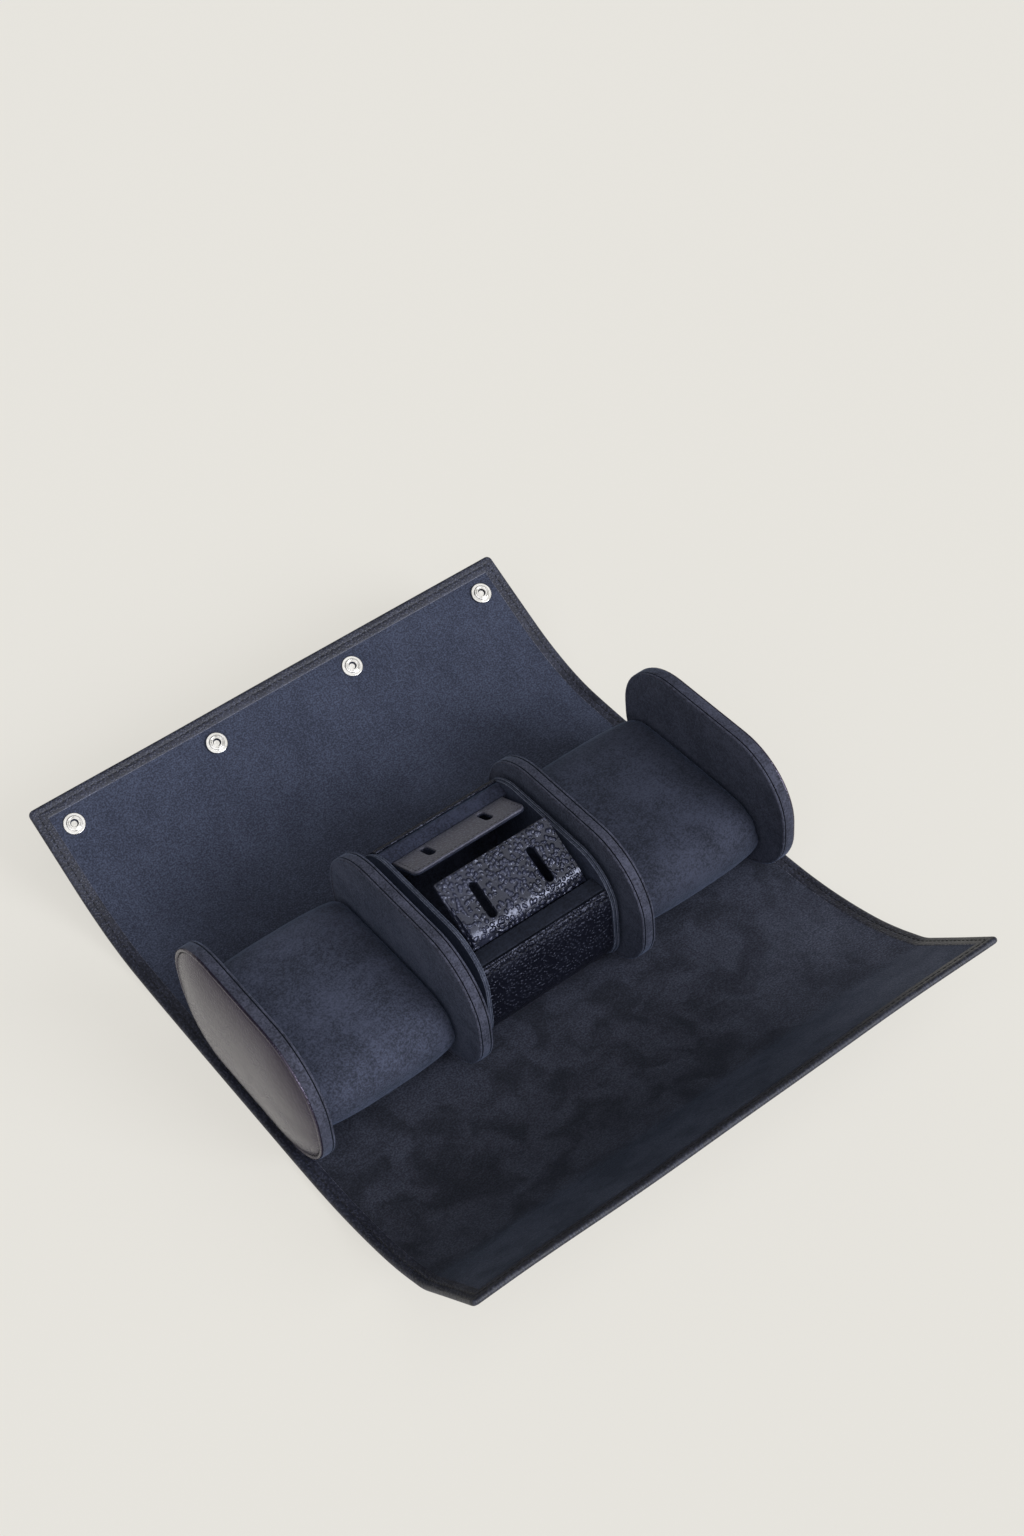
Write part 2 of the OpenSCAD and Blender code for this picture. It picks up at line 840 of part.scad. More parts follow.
module front_leaf_lining() {
    color(suede)
        front_leaf_part(leaf_leather_t, leaf_t);
}

module rear_leaf_part(a, b) {
    w = tray_in - 2 * rear_leaf_gap;
    at_core()
        translate([x_tray + tray_w / 2, rear_hinge_y, rear_hinge_z])
            mirror([0, 1, 0])
                rotate([rear_leaf_slope, 0, 0])
                    difference() {
                        translate([-w / 2, 0, -b])
                            cube([w, rear_leaf_l, b - a]);
                        translate([0, rear_leaf_l, 0])
                            corner_cuts(w, rear_leaf_r);
                        for (s = [-1, 1])
                            translate([s * rear_slot_x, rear_leaf_l - slot_edge, 0])
                                slot(rear_slot_l);
                    }
}

module rear_leaf() {
    color(leather)
        rear_leaf_part(0, leaf_leather_t);
}

module rear_leaf_lining() {
    color(suede)
        rear_leaf_part(leaf_leather_t, leaf_t);
}

base_leather();
base_board();
base_lining();
for (k = [1:folds]) {
    front_leather(k);
    front_lining(k);
    rear_leather(k);
    rear_lining(k);
}
snap_sockets();
snap_caps();
snap_studs();
stud_washers();
at_left_disc() disc_suede();  // left_disc_suede
at_left_disc() disc_board();  // left_disc_board
at_left_disc() disc_leather();  // left_disc_leather
at_right_disc() disc_suede();  // right_disc_suede
at_right_disc() disc_board();  // right_disc_board
at_right_disc() disc_leather();  // right_disc_leather
divider_suede(x_left_divider);  // left_divider_suede
divider_board(x_left_divider);  // left_divider_board
divider_suede(x_right_divider);  // right_divider_suede
divider_board(x_right_divider);  // right_divider_board
pillow(x_left_bay, left_bay);  // left_pillow
pillow_foam(x_left_bay, left_bay);  // left_pillow_foam
pillow(x_right_bay, right_bay);  // right_pillow
pillow_foam(x_right_bay, right_bay);  // right_pillow_foam
tray_leather();
tray_board();
tray_suede();
tray_ledge();
tray_shoulder();
plate_layer(x_tray, 0);  // left_plate_outer
plate_layer(x_tray + layer_t, layer_inset);  // left_plate_inner
plate_layer(x_tray + tray_w - 2 * layer_t, layer_inset);  // right_plate_inner
plate_layer(x_tray + tray_w - layer_t, 0);  // right_plate_outer
front_leaf();
front_leaf_lining();
rear_leaf();
rear_leaf_lining();
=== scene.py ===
# Watch roll, dressed: brushed suede, folded leather edges, sewn seams and soft studio light
import json
import math
from functools import partial

import bmesh
import bpy
from mathutils import Matrix, Vector
from mathutils.geometry import delaunay_2d_cdt


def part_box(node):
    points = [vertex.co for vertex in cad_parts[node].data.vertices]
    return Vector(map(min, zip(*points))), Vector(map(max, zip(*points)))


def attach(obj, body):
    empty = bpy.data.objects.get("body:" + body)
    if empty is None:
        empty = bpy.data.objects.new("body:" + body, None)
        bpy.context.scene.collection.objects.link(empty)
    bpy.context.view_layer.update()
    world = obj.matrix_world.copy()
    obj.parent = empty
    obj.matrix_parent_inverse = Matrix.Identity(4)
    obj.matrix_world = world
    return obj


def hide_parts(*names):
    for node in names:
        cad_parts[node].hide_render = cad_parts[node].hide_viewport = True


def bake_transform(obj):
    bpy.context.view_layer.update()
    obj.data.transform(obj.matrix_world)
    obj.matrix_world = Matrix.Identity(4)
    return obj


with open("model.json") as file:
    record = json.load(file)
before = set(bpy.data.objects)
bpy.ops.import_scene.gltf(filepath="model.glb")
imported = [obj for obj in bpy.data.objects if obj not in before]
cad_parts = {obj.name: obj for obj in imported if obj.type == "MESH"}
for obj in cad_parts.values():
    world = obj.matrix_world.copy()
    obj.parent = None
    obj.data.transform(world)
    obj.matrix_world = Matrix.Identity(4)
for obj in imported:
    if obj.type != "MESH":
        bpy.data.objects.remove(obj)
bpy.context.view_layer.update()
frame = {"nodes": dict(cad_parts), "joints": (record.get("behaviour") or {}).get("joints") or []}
mm = 0.001
print("frame loaded,", len(frame["nodes"]), "nodes")


# Materials: every one is built from noise in the piece's own coordinates, in metres
def linearColour(hexColour):
    parts = [int(hexColour[i:i + 2], 16) / 255 for i in (0, 2, 4)]
    return [c / 12.92 if c <= 0.04045 else ((c + 0.055) / 1.055) ** 2.4 for c in parts] + [1.0]


def addNode(tree, kind, settings=None, **inputs):
    # A socket is named, with _ for a space, or numbered as i0, i1 and so on; each is linked or set
    node = tree.nodes.new(kind)
    for key, value in (settings or {}).items():
        setattr(node, key, value)
    for key, value in inputs.items():
        socket = node.inputs[int(key[1:]) if key[1:].isdigit() else key.replace("_", " ")]
        if isinstance(value, bpy.types.NodeSocket):
            tree.links.new(value, socket)
        else:
            socket.default_value = value
    return node


class Shader:
    def __init__(self, name):
        self.material = bpy.data.materials.new(name)
        self.material.use_nodes = True
        self.tree = self.material.node_tree
        self.tree.nodes.clear()

    def add(self, kind, settings=None, **inputs):
        return addNode(self.tree, kind, settings, **inputs)

    def noise(self, where, size, detail=2.0, rough=0.5, warp=0.0):
        return self.add("ShaderNodeTexNoise", Vector=where, Scale=1 / size, Detail=detail, Roughness=rough,
                        Distortion=warp).outputs["Fac"]

    def stretch(self, where, scale, turn=0.0):
        return self.add("ShaderNodeMapping", Vector=where, Scale=scale, Rotation=(0, 0, turn)).outputs[0]

    def between(self, value, low, high, outLow=0.0, outHigh=1.0):
        return self.add("ShaderNodeMapRange", {"interpolation_type": "SMOOTHSTEP"}, i0=value, i1=low, i2=high,
                        i3=outLow, i4=outHigh).outputs[0]

    def sum(self, a, b):
        return self.add("ShaderNodeMath", {"operation": "ADD"}, i0=a, i1=b).outputs[0]

    def times(self, a, b):
        return self.add("ShaderNodeMath", {"operation": "MULTIPLY"}, i0=a, i1=b).outputs[0]

    def grey(self, tone):
        return self.add("ShaderNodeCombineXYZ", i0=tone, i1=tone, i2=tone).outputs[0]

    def mix(self, factor, a, b, blend="MIX"):
        return self.add("ShaderNodeMix", {"data_type": "RGBA", "blend_type": blend}, i0=factor, i6=a,
                        i7=b).outputs[2]

    def bump(self, height, strength, distance, **under):
        return self.add("ShaderNodeBump", Height=height, Strength=strength, Distance=distance,
                        **under).outputs[0]

    def finish(self, fixed, **linked):
        shader = self.add("ShaderNodeBsdfPrincipled", **linked)
        for key, value in fixed.items():
            shader.inputs[key].default_value = value
        self.add("ShaderNodeOutputMaterial", Surface=shader.outputs[0])
        return self.material


def whereOn(shader, onSheet):
    if onSheet:
        return shader.add("ShaderNodeUVMap", {"uv_map": "flat"}).outputs[0]
    return shader.add("ShaderNodeTexCoord").outputs["Object"]


noiseSpan = (0.3, 0.7)  # most of a noise's values lie between these
suedeLook = {
    "deep": "1f222b", "light": "3c4251", "colourSpan": (0.1, 1.06),
    "depth": 0.0004, "bump": 0.6, "rough": (0.96, 0.86), "specular": 0.2,
    "sheen": 0.3, "sheenTint": "8499bd", "sheenRough": 0.42,
    # Size in metres and share in the colour of each layer of nap
    "patch": (0.032, 0.24), "brush": (0.009, 0.16), "grain": (0.0021, 0.24), "fibre": (0.0009, 0.5),
}
# Detail and warp of each layer; the brush marks are drawn out and turned
napLayers = {"patch": (3.0, 0.25), "brush": (3.0, 0.3), "grain": (2.0, 0.0), "fibre": (2.0, 0.0)}
brushStretch, brushTurn = (1.0, 0.5, 0.7), 0.5
# The lining is painted with light and shade: lighter and bluer towards the sockets, darker and warmer towards the
# studs, with a painted sheen lighting the right end of the front flap; the strokes are the suede's own mottling
# towards the studs.
# Places are in metres from the middle of the wrap, below zero towards the studs; ranges end in tones where four long
liningLightAndMottle = {
    "litTints": ("ddd4cc", "fffdff"), "litTintRange": (-0.1, 0.12), "liningShadeRange": (-0.07, 0.12, 1.68, 1.7),
    "strokeSize": 0.021, "strokeNoise": (2.5, 0.55, 0.7), "strokeTones": (0.36, 0.62, -0.56, 0.5),
    "strokeRange": (0.02, -0.08), "sheenRange": (-0.04, -0.13), "sheenTones": (0.02, 0.13, 0.0, 2.1),
}
# The fade is painted shade: darker towards the right end of the roll and lighter towards the left.
rightShadeRange, leftLightLift = (-0.12, 0.1), 0.4  # a fade darkens a piece towards the right end of the roll


def brushedColour(s, colour, where):
    part = s.add("ShaderNodeSeparateXYZ", i0=where)
    across, along = part.outputs[0], part.outputs[1]
    # Painted light: the lining is tinted bluer towards the sockets and darker and warmer towards the studs.
    tint = s.mix(s.between(along, *liningLightAndMottle["litTintRange"]), *(linearColour(c) for c in liningLightAndMottle["litTints"]))
    strokes = s.between(s.noise(where, liningLightAndMottle["strokeSize"], *liningLightAndMottle["strokeNoise"]), *liningLightAndMottle["strokeTones"])
    strokes = s.times(strokes, s.between(along, *liningLightAndMottle["strokeRange"]))
    # Painted sheen: the right end of the front flap is painted lighter.
    end = s.times(s.between(along, *liningLightAndMottle["sheenRange"]), s.between(across, *liningLightAndMottle["sheenTones"]))
    # The tone is painted light along the lining, lighter towards the sockets, plus the mottling strokes and the
    # painted sheen.
    tone = s.sum(s.sum(s.between(along, *liningLightAndMottle["liningShadeRange"]), strokes), end)
    return s.mix(1.0, s.mix(1.0, colour, s.grey(tone), "MULTIPLY"), tint, "MULTIPLY")


def suedeFinish(name, onSheet=False, fade=0.0, **change):
    look = {**suedeLook, **change}
    s = Shader(name)
    where = whereOn(s, onSheet)
    layers, nap = {}, 0.0
    for layer, (detail, warp) in napLayers.items():
        size, share = look[layer]
        spot = s.stretch(where, brushStretch, brushTurn) if layer == "brush" else where
        layers[layer] = s.noise(spot, size, detail, 0.6, warp)
        nap = s.sum(nap, s.between(layers[layer], *noiseSpan, 0.0, share))
    colour = s.mix(s.between(nap, *look["colourSpan"]), linearColour(look["deep"]), linearColour(look["light"]))
    if onSheet:
        colour = brushedColour(s, colour, where)
    elif fade:
        # Painted shade: darker towards the right end of the roll, lighter towards the left.
        across = s.add("ShaderNodeSeparateXYZ", i0=where).outputs[0]
        tone = s.between(across, *rightShadeRange, 1 + fade * leftLightLift, 1 - fade)
        colour = s.mix(1.0, colour, s.grey(tone), "MULTIPLY")
    coarse = s.bump(layers["grain"], look["bump"], look["depth"])
    return s.finish(
        {"Specular IOR Level": look["specular"], "Sheen Weight": look["sheen"],
         "Sheen Roughness": look["sheenRough"], "Sheen Tint": linearColour(look["sheenTint"])},
        Base_Color=colour, Roughness=s.between(layers["patch"], *noiseSpan, *look["rough"]),
        Normal=s.bump(layers["fibre"], look["bump"], look["depth"] * 0.6, Normal=coarse))


leatherLook = {
    "deep": "0d0f19", "light": "1c2032", "grain": 0.0011, "crease": 0.9, "depth": 0.00022,
    "rough": 0.42, "roughSpread": 0.14, "specular": 0.5, "tint": "ffffff", "patch": 0.02,
    # Shares of the grain: size of the wobble that bends its cells, how far it shifts them, and size of the pores
    "wobble": 2.2, "shift": 0.9, "pore": 0.35,
    # Share of light and dark from the patches, and from the cells: painted light on their tops and painted shade in
    # the creases between them
    "patchTone": 0.4, "cellLightAndShade": 0.6,
    # Painted light and shade along the front: how light the folded edge is painted there, beside the rest, and how
    # far out that begins
    "rubbed": 0.75, "rubbedFrom": 0.19, "rubbedFade": 0.003,
}


def leatherFinish(name, onSheet=False, **change):
    look = {**leatherLook, **change}
    grain, depth = look["grain"], look["depth"]
    s = Shader(name)
    where = whereOn(s, onSheet)
    wobble = s.noise(where, grain * look["wobble"])
    shift = s.add("ShaderNodeVectorMath", {"operation": "SCALE"}, i0=s.grey(wobble), Scale=grain * look["shift"])
    moved = s.add("ShaderNodeVectorMath", {"operation": "ADD"}, i0=where, i1=shift.outputs[0]).outputs[0]
    cells = s.add("ShaderNodeTexVoronoi", {"feature": "SMOOTH_F1"}, Vector=moved, Scale=1 / grain, Smoothness=0.35)
    pebble = s.between(cells.outputs["Distance"], 0.2, 0.6, 1.0, 0.0)
    patch = s.noise(where, look["patch"], 3.0, 0.6, 0.5)
    pore = s.noise(where, grain * look["pore"], 2.0, 0.6)
    # Painted light on the cells' tops and painted shade in the creases between them.
    tone = s.sum(s.between(patch, *noiseSpan, 0.0, look["patchTone"]), s.times(pebble, look["cellLightAndShade"]))
    colour = s.mix(s.between(tone, 0.0, 1.0), linearColour(look["deep"]), linearColour(look["light"]))
    if onSheet:
        # Painted light and shade: towards the front the folded edge is painted lighter or darker.
        along = s.add("ShaderNodeSeparateXYZ", i0=where).outputs[1]
        start = -look["rubbedFrom"]
        tone = s.between(along, start, start - look["rubbedFade"], 1.0, look["rubbed"])
        colour = s.mix(1.0, colour, s.grey(tone), "MULTIPLY")
    rough = s.between(s.sum(patch, pore), 0.7, 1.3, look["rough"], look["rough"] + look["roughSpread"])
    return s.finish(
        {"Specular IOR Level": look["specular"], "Specular Tint": linearColour(look["tint"])},
        Base_Color=colour, Roughness=rough,
        Normal=s.bump(pore, 0.25, depth * 0.3, Normal=s.bump(pebble, look["crease"], depth)))


def plainFinish(name, dark, light, size, rough, metal=0.0, bumps=0.0001, roughSpread=0.1):
    s = Shader(name)
    where = whereOn(s, False)
    grain = s.noise(where, size, 4.0, 0.6)
    wide = s.noise(where, size * 8, 3.0, 0.5)
    colour = s.mix(s.between(s.sum(grain, wide), 0.7, 1.3), linearColour(dark), linearColour(light))
    return s.finish({"Metallic": metal}, Base_Color=colour,
                    Roughness=s.between(wide, *noiseSpan, rough, rough + roughSpread),
                    Normal=s.bump(grain, 0.3, bumps))


liningSuede = suedeFinish("liningSuede", True, patch=(0.03, 0.1), brush=(0.008, 0.08), grain=(0.0021, 0.18),
                          fibre=(0.0009, 0.5), sheen=0.2)
coreSuede = suedeFinish("coreSuede", fade=0.26, deep="262932", light="444858", patch=(0.03, 0.34))
panelSuede = suedeFinish("panelSuede", fade=0.06, deep="26272f", light="494b59", patch=(0.024, 0.3))
trimSuede = suedeFinish("trimSuede", deep="1a1c26", light="333747", patch=(0.018, 0.3))
# Painted shade: the recessed ledge is a darker copy of the trim suede.
ledgeShadeSuede = suedeFinish("ledgeShadeSuede", deep="0f1119", light="1f232e", patch=(0.018, 0.3), sheen=0.2)
# Painted highlight: the rounded rims of the tray plates are painted lighter.
rimHighlightSuede = suedeFinish("rimHighlightSuede", deep="3a3e4a", light="636875", patch=(0.01, 0.3))
# Painted shade: the seam grooves of the discs and dividers are painted near black.
grooveShadeSuede = suedeFinish("grooveShadeSuede", deep="08090d", light="101218", patch=(0.01, 0.3))
# Along the front the wrap leather is painted darker, as painted shade, and the cut edge lighter, as a painted
# highlight.
wrapLeather = leatherFinish("wrapLeather", True, grain=0.0013, crease=0.7, rough=0.45, specular=0.5,
                            deep="1a1c27", light="353847")
cutEdge = leatherFinish("cutEdge", True, grain=0.0013, crease=0.7, rough=0.5, deep="3a3c48", light="6a6c78",
                        rubbed=1.6)
faceLeather = leatherFinish("faceLeather", grain=0.0011, crease=0.4, rough=0.2, specular=0.7,
                            deep="17141d", light="282432", tint="f2e4ff", roughSpread=0.08)
pebbleLeather = leatherFinish("pebbleLeather", grain=0.0022, crease=1.0, depth=0.0006, rough=0.22,
                              deep="0b0d16", light="2f3243", specular=0.65, tint="e8ecff")
wallLeather = leatherFinish("wallLeather", grain=0.0017, crease=1.0, depth=0.0005, rough=0.3,
                            deep="0c0d15", light="161822", tint="dde3ff", specular=0.4)
# Painted reflection: the leaf leather is painted light grey for the light that the rear leaf reflects.
leafReflectionLeather = leatherFinish("leafReflectionLeather", grain=0.0013, crease=0.5, rough=0.4, deep="46464f", light="62626d",
                            specular=0.6, tint="e2e6ff")
threadFinish = plainFinish("thread", "08090d", "13151c", 0.0003, 0.6)
boardFinish = plainFinish("greyBoard", "6d6456", "8d8474", 0.0015, 0.85)
foamFinish = plainFinish("foam", "c9c6ba", "dedbd0", 0.0012, 0.9)
nickelFinish = plainFinish("nickel", "cbc9c4", "e9e7e2", 0.0008, 0.2, 1.0, 0.00002, 0.12)
print("materials made")

# The solids that show as they are, such as the press studs, get the finish of the first word their name holds
nodeFinish = {
    "board": boardFinish, "foam": foamFinish, "snap": nickelFinish, "stud": nickelFinish,
    "leather": wallLeather, "leaf": leafReflectionLeather,
}
for nodeName, node in frame["nodes"].items():
    kind = next((k for k in nodeFinish if k in nodeName), None)
    for materialSlot in node.material_slots:
        materialSlot.material = nodeFinish.get(kind, trimSuede)


# Making a mesh into a piece; points are in mm
def putIn(name, data):
    thing = bpy.data.objects.new(name, data)
    bpy.context.scene.collection.objects.link(thing)
    return thing


def newPiece(name, points, faces, finish, flat=None, sharp=38):
    mesh = bpy.data.meshes.new(name)
    mesh.from_pydata([tuple(c * mm for c in p) for p in points], [], faces)
    if flat:
        layer = mesh.uv_layers.new(name="flat")
        for loop in mesh.loops:
            u, v = flat[loop.vertex_index]
            layer.data[loop.index].uv = (u * mm, v * mm)
    bm = bmesh.new()
    bm.from_mesh(mesh)
    bmesh.ops.remove_doubles(bm, verts=bm.verts, dist=1e-6)
    bmesh.ops.recalc_face_normals(bm, faces=bm.faces)
    bm.to_mesh(mesh)
    bm.free()
    smoothAll(mesh)
    mesh.set_sharp_from_angle(angle=math.radians(sharp))
    mesh.materials.append(finish)
    return putIn(name, mesh)


def smoothAll(mesh):
    mesh.polygons.foreach_set("use_smooth", [True] * len(mesh.polygons))


def arcPoints(cx, cy, radius, start, end, steps):
    turns = [math.radians(start + (end - start) * i / steps) for i in range(steps + 1)]
    return [(cx + radius * math.cos(t), cy + radius * math.sin(t)) for t in turns]


def tube(rings):
    # Points and faces of a body that is closed round its rings and capped at both ends
    n, last = len(rings[0]), (len(rings) - 1) * len(rings[0])
    faces = [[j + i, j + (i + 1) % n, j + n + (i + 1) % n, j + n + i] for j in range(0, last, n) for i in range(n)]
    return [p for ring in rings for p in ring], faces + [list(range(n)), list(range(last, last + n))]


def twoSheets(columns, rows, place):
    # A closed slab between a top and a bottom sheet over one grid; place(c, r, under) gives point and flat spot
    points, flat = zip(*(place(c, r, under) for r in rows for c in columns for under in (False, True)))
    n, m = len(columns), len(rows)

    def at(i, j, under):
        return 2 * (j * n + i) + under

    faces = [[at(i, j, k), at(i + 1, j, k), at(i + 1, j + 1, k), at(i, j + 1, k)]
             for j in range(m - 1) for i in range(n - 1) for k in (0, 1)]
    faces += [[at(i, j, 0), at(i, j + 1, 0), at(i, j + 1, 1), at(i, j, 1)]
              for j in range(m - 1) for i in (0, n - 1)]
    faces += [[at(i, j, 0), at(i + 1, j, 0), at(i + 1, j, 1), at(i, j, 1)]
              for i in range(n - 1) for j in (0, m - 1)]
    return points, faces, flat


# Seams: one tree lays stitches along every path, as many as its "stitches" value says
def seamTree():
    tree = bpy.data.node_groups.new("seam", "GeometryNodeTree")
    for label, kind in (("Path", "Geometry"), ("Stitch Length", "Float"), ("Thread Radius", "Float"),
                        ("Spread", "Float"), ("Seed", "Int"), ("Thread", "Material")):
        tree.interface.new_socket(label, in_out="INPUT", socket_type="NodeSocket" + kind)
    tree.interface.new_socket("Stitches", in_out="OUTPUT", socket_type="NodeSocketGeometry")

    add = partial(addNode, tree)
    given = add("NodeGroupInput").outputs
    curve = add("GeometryNodeMeshToCurve", i0=given["Path"])
    count = add("GeometryNodeInputNamedAttribute", {"data_type": "INT"}, Name="stitches")
    spots = add("GeometryNodeResampleCurve", {"mode": "COUNT"}, Curve=curve.outputs[0], Count=count.outputs[0])
    along = add("GeometryNodeInputTangent")
    turn = add("FunctionNodeAlignRotationToVector", {"axis": "X"}, Vector=along.outputs[0])
    ball = add("GeometryNodeMeshUVSphere", Segments=6, Rings=5, Radius=1.0)
    half = add("ShaderNodeMath", {"operation": "MULTIPLY"}, i0=given["Stitch Length"], i1=0.5)
    size = add("ShaderNodeCombineXYZ", i0=given["Thread Radius"], i1=given["Thread Radius"], i2=half.outputs[0])
    shape = add("GeometryNodeTransform", Geometry=ball.outputs["Mesh"], Rotation=(0, math.radians(90), 0),
                Scale=size.outputs[0])
    low = add("ShaderNodeMath", {"operation": "SUBTRACT"}, i0=1.0, i1=given["Spread"])
    spread = add("FunctionNodeRandomValue", {"data_type": "FLOAT"}, i2=low.outputs[0], i3=1.0, Seed=given["Seed"])
    place = add("GeometryNodeInstanceOnPoints", Points=spots.outputs[0], Instance=shape.outputs[0],
                Rotation=turn.outputs[0], Scale=spread.outputs[1])
    real = add("GeometryNodeRealizeInstances", i0=place.outputs[0])
    smooth = add("GeometryNodeSetShadeSmooth", Geometry=real.outputs[0])
    paint = add("GeometryNodeSetMaterial", Geometry=smooth.outputs[0], Material=given["Thread"])
    add("NodeGroupOutput", i0=paint.outputs[0])
    return tree


# A stitch is its pitch, length and thread radius; spread is how much shorter the shortest one may be
seam = {"tree": seamTree(), "stitch": (3.4, 2.5, 0.3), "spread": 0.16, "seed": 7}


def runLength(path):
    return sum((Vector(a) - Vector(b)).length for a, b in zip(path, path[1:]))


def sew(name, paths, stitch=seam["stitch"]):
    # Each path is a list of points; the first and last stitch lie half a pitch inside its ends
    pitch, length, radius = stitch
    points, edges, counts = [], [], []
    for path in paths:
        total = runLength(path)
        count = max(2, round(total / pitch))
        inset = total / count / 2
        fine = alongPath(path, inset, total - inset)
        first = len(points)
        points += fine
        edges += [(first + k, first + k + 1) for k in range(len(fine) - 1)]
        counts += [count] * len(fine)
    mesh = bpy.data.meshes.new(name)
    mesh.from_pydata([tuple(c * mm for c in p) for p in points], edges, [])
    mesh.attributes.new("stitches", "INT", "POINT").data.foreach_set("value", counts)
    piece = putIn(name, mesh)
    modifier = piece.modifiers.new("seam", "NODES")
    modifier.node_group = seam["tree"]
    values = {"Stitch Length": length * mm, "Thread Radius": radius * mm, "Spread": seam["spread"],
              "Seed": seam["seed"], "Thread": threadFinish}
    for item in seam["tree"].interface.items_tree:
        if item.in_out == "INPUT" and item.name in values:
            modifier[item.identifier] = values[item.name]
    bpy.context.view_layer.update()
    applyAll(piece)
    return piece


def applyAll(piece):
    evaluated = piece.evaluated_get(bpy.context.evaluated_depsgraph_get())
    mesh = bpy.data.meshes.new_from_object(evaluated)
    piece.modifiers.clear()
    piece.data = mesh


def carry(piece, body, node=None):
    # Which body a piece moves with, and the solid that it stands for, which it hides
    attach(piece, body)
    if node:
        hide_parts(node)


def alongPath(path, start, end):
    # The part of a path from start to end, in length from its first point
    result, done = [], 0.0
    for a, b in zip(path, path[1:]):
        a, b = Vector(a), Vector(b)
        step = (b - a).length
        if step < 1e-9:
            continue
        if done <= start < done + step:
            result.append(tuple(a.lerp(b, (start - done) / step)))
        elif start < done < end:
            result.append(tuple(a))
        if done < end <= done + step + 1e-6:
            result.append(tuple(a.lerp(b, min(1.0, (end - done) / step))))
            return result
        done += step
    result.append(tuple(path[-1]))
    return result


# The wrap: each piece runs from the middle of one strip to the middle of the next, round their fold
wrap = {
    "thick": 3.0, "leather": 1.5, "turned": 8.0, "step": 0.35, "corner": 3.0, "frontFlap": 57.5, "rearFlap": 59.7,
    "columnStep": 6.0, "overlap": 0.05, "liningUnder": 0.2,
    "seamIn": 4.0, "seamDip": 0.22, "seamWide": 0.55, "threadOut": 0.1,
    # The cut line of the turned leather: how wide it falls off, how deep, and how wide a band takes the lighter
    # cut-edge finish
    "cutWide": 0.7, "cutDeep": 0.3, "cutBand": 0.45,
    # Soft waves in the free ends: height, lengths, where they begin and how far out they are full
    "wave": 0.5, "waveLengths": (31, 17), "waveFrom": 130, "waveRise": 50,
    # Length of the bend either side of a fold that is creased sharply; the others are bent all the way
    "crease": {("front", 4): 4.5},
    # Share of half a strip, either side of a fold, at which the piece's bend points are set
    "bend": 0.8,
}
# Where the mesh has rows: in from an edge, in a bend as shares of it, before a crease, and along a free flap
edgeSteps = [0, 0.1, 0.35, 0.8, 1.5, 2.4, 3.2, 3.6, 4.0, 4.4, 4.8, 5.6, 6.6, 7.3, 7.75, 8.0]
pastEdge = [edgeSteps[-1] + 0.03, edgeSteps[-1] + 0.3]
bendSteps = [0, 0.0015, 0.02] + [i / 12 for i in range(1, 12)] + [0.98, 0.9985, 1]
creaseSteps = (0, 0.004, 0.05, 0.5)
flapSteps = [4, 9, 14, 19, 24, 29, 34, 37.5]
far = 1e9  # distance to a free end that the piece doesn't have
wrapLeft, wrapRight = (corner.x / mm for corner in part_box("base_leather"))


def foldsOf(side, sign):
    names = [side + "_fold"] + [side + "_fold_" + str(k) for k in range(2, 6)]
    joints = {j["name"]: j for j in frame["joints"]}
    return [(sign * joints[n]["pos_m"][1] / mm, joints[n]["pos_m"][2] / mm) for n in names]


def wrapSide(side, sign, flapLength):
    # Stations of one side of the wrap, measured outwards from the middle of the whole roll
    folds = foldsOf(side, sign)
    strip = math.dist(folds[1], folds[2])
    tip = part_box(side + "_leather_5")[1].z / mm
    angles = [0.0] + [math.atan2(b[1] - a[1], b[0] - a[0]) for a, b in zip(folds, folds[1:])]
    angles.append(math.asin((tip - folds[4][1]) / flapLength))
    half = strip / 2
    pieces, run = [], folds[0][0] - half
    for k, (y, z) in enumerate(folds):
        a, b = angles[k], angles[k + 1]
        turn = b - a
        reach = wrap["crease"].get((side, k), half)
        radius = reach / math.tan(turn / 2)
        y0, z0 = y - half * math.cos(a), z - half * math.sin(a)
        y1, z1 = y - reach * math.cos(a), z - reach * math.sin(a)
        gap = half - reach
        ends = [gap * f for f in creaseSteps] if gap > 0 else []
        stations = [straightOn({"y": y0, "z": z0, "a": a, "s": run}, d, far) for d in ends]
        for f in bendSteps:
            t = a + turn * f
            stations.append({
                "y": y1 + radius * (math.sin(t) - math.sin(a)),
                "z": z1 - radius * (math.cos(t) - math.cos(a)),
                "a": t, "s": run + gap + radius * turn * f, "rest": far})
        run += 2 * gap + radius * turn
        end = {"y": y + half * math.cos(b), "z": z + half * math.sin(b), "a": b, "s": run}
        stations += [straightOn(end, -d, far) for d in reversed(ends)]
        if k == 4:
            last = stations[-1]
            for d in flapSteps:
                if d < flapLength - half - edgeSteps[-1] - 0.5:
                    stations.append(straightOn(last, d, flapLength - half))
            for e in reversed(edgeSteps + pastEdge):
                stations.append(straightOn(last, flapLength - half - e, flapLength - half))
        pieces.append({
            "stations": stations, "start": y0,
            "bends": [(y + d * math.cos(t), z + d * math.sin(t))
                      for d, t in ((-half * wrap["bend"], a), (half * wrap["bend"], b))]})
    return pieces


def straightOn(last, d, whole):
    return {"y": last["y"] + d * math.cos(last["a"]), "z": last["z"] + d * math.sin(last["a"]),
            "a": last["a"], "s": last["s"] + d, "rest": whole - d}


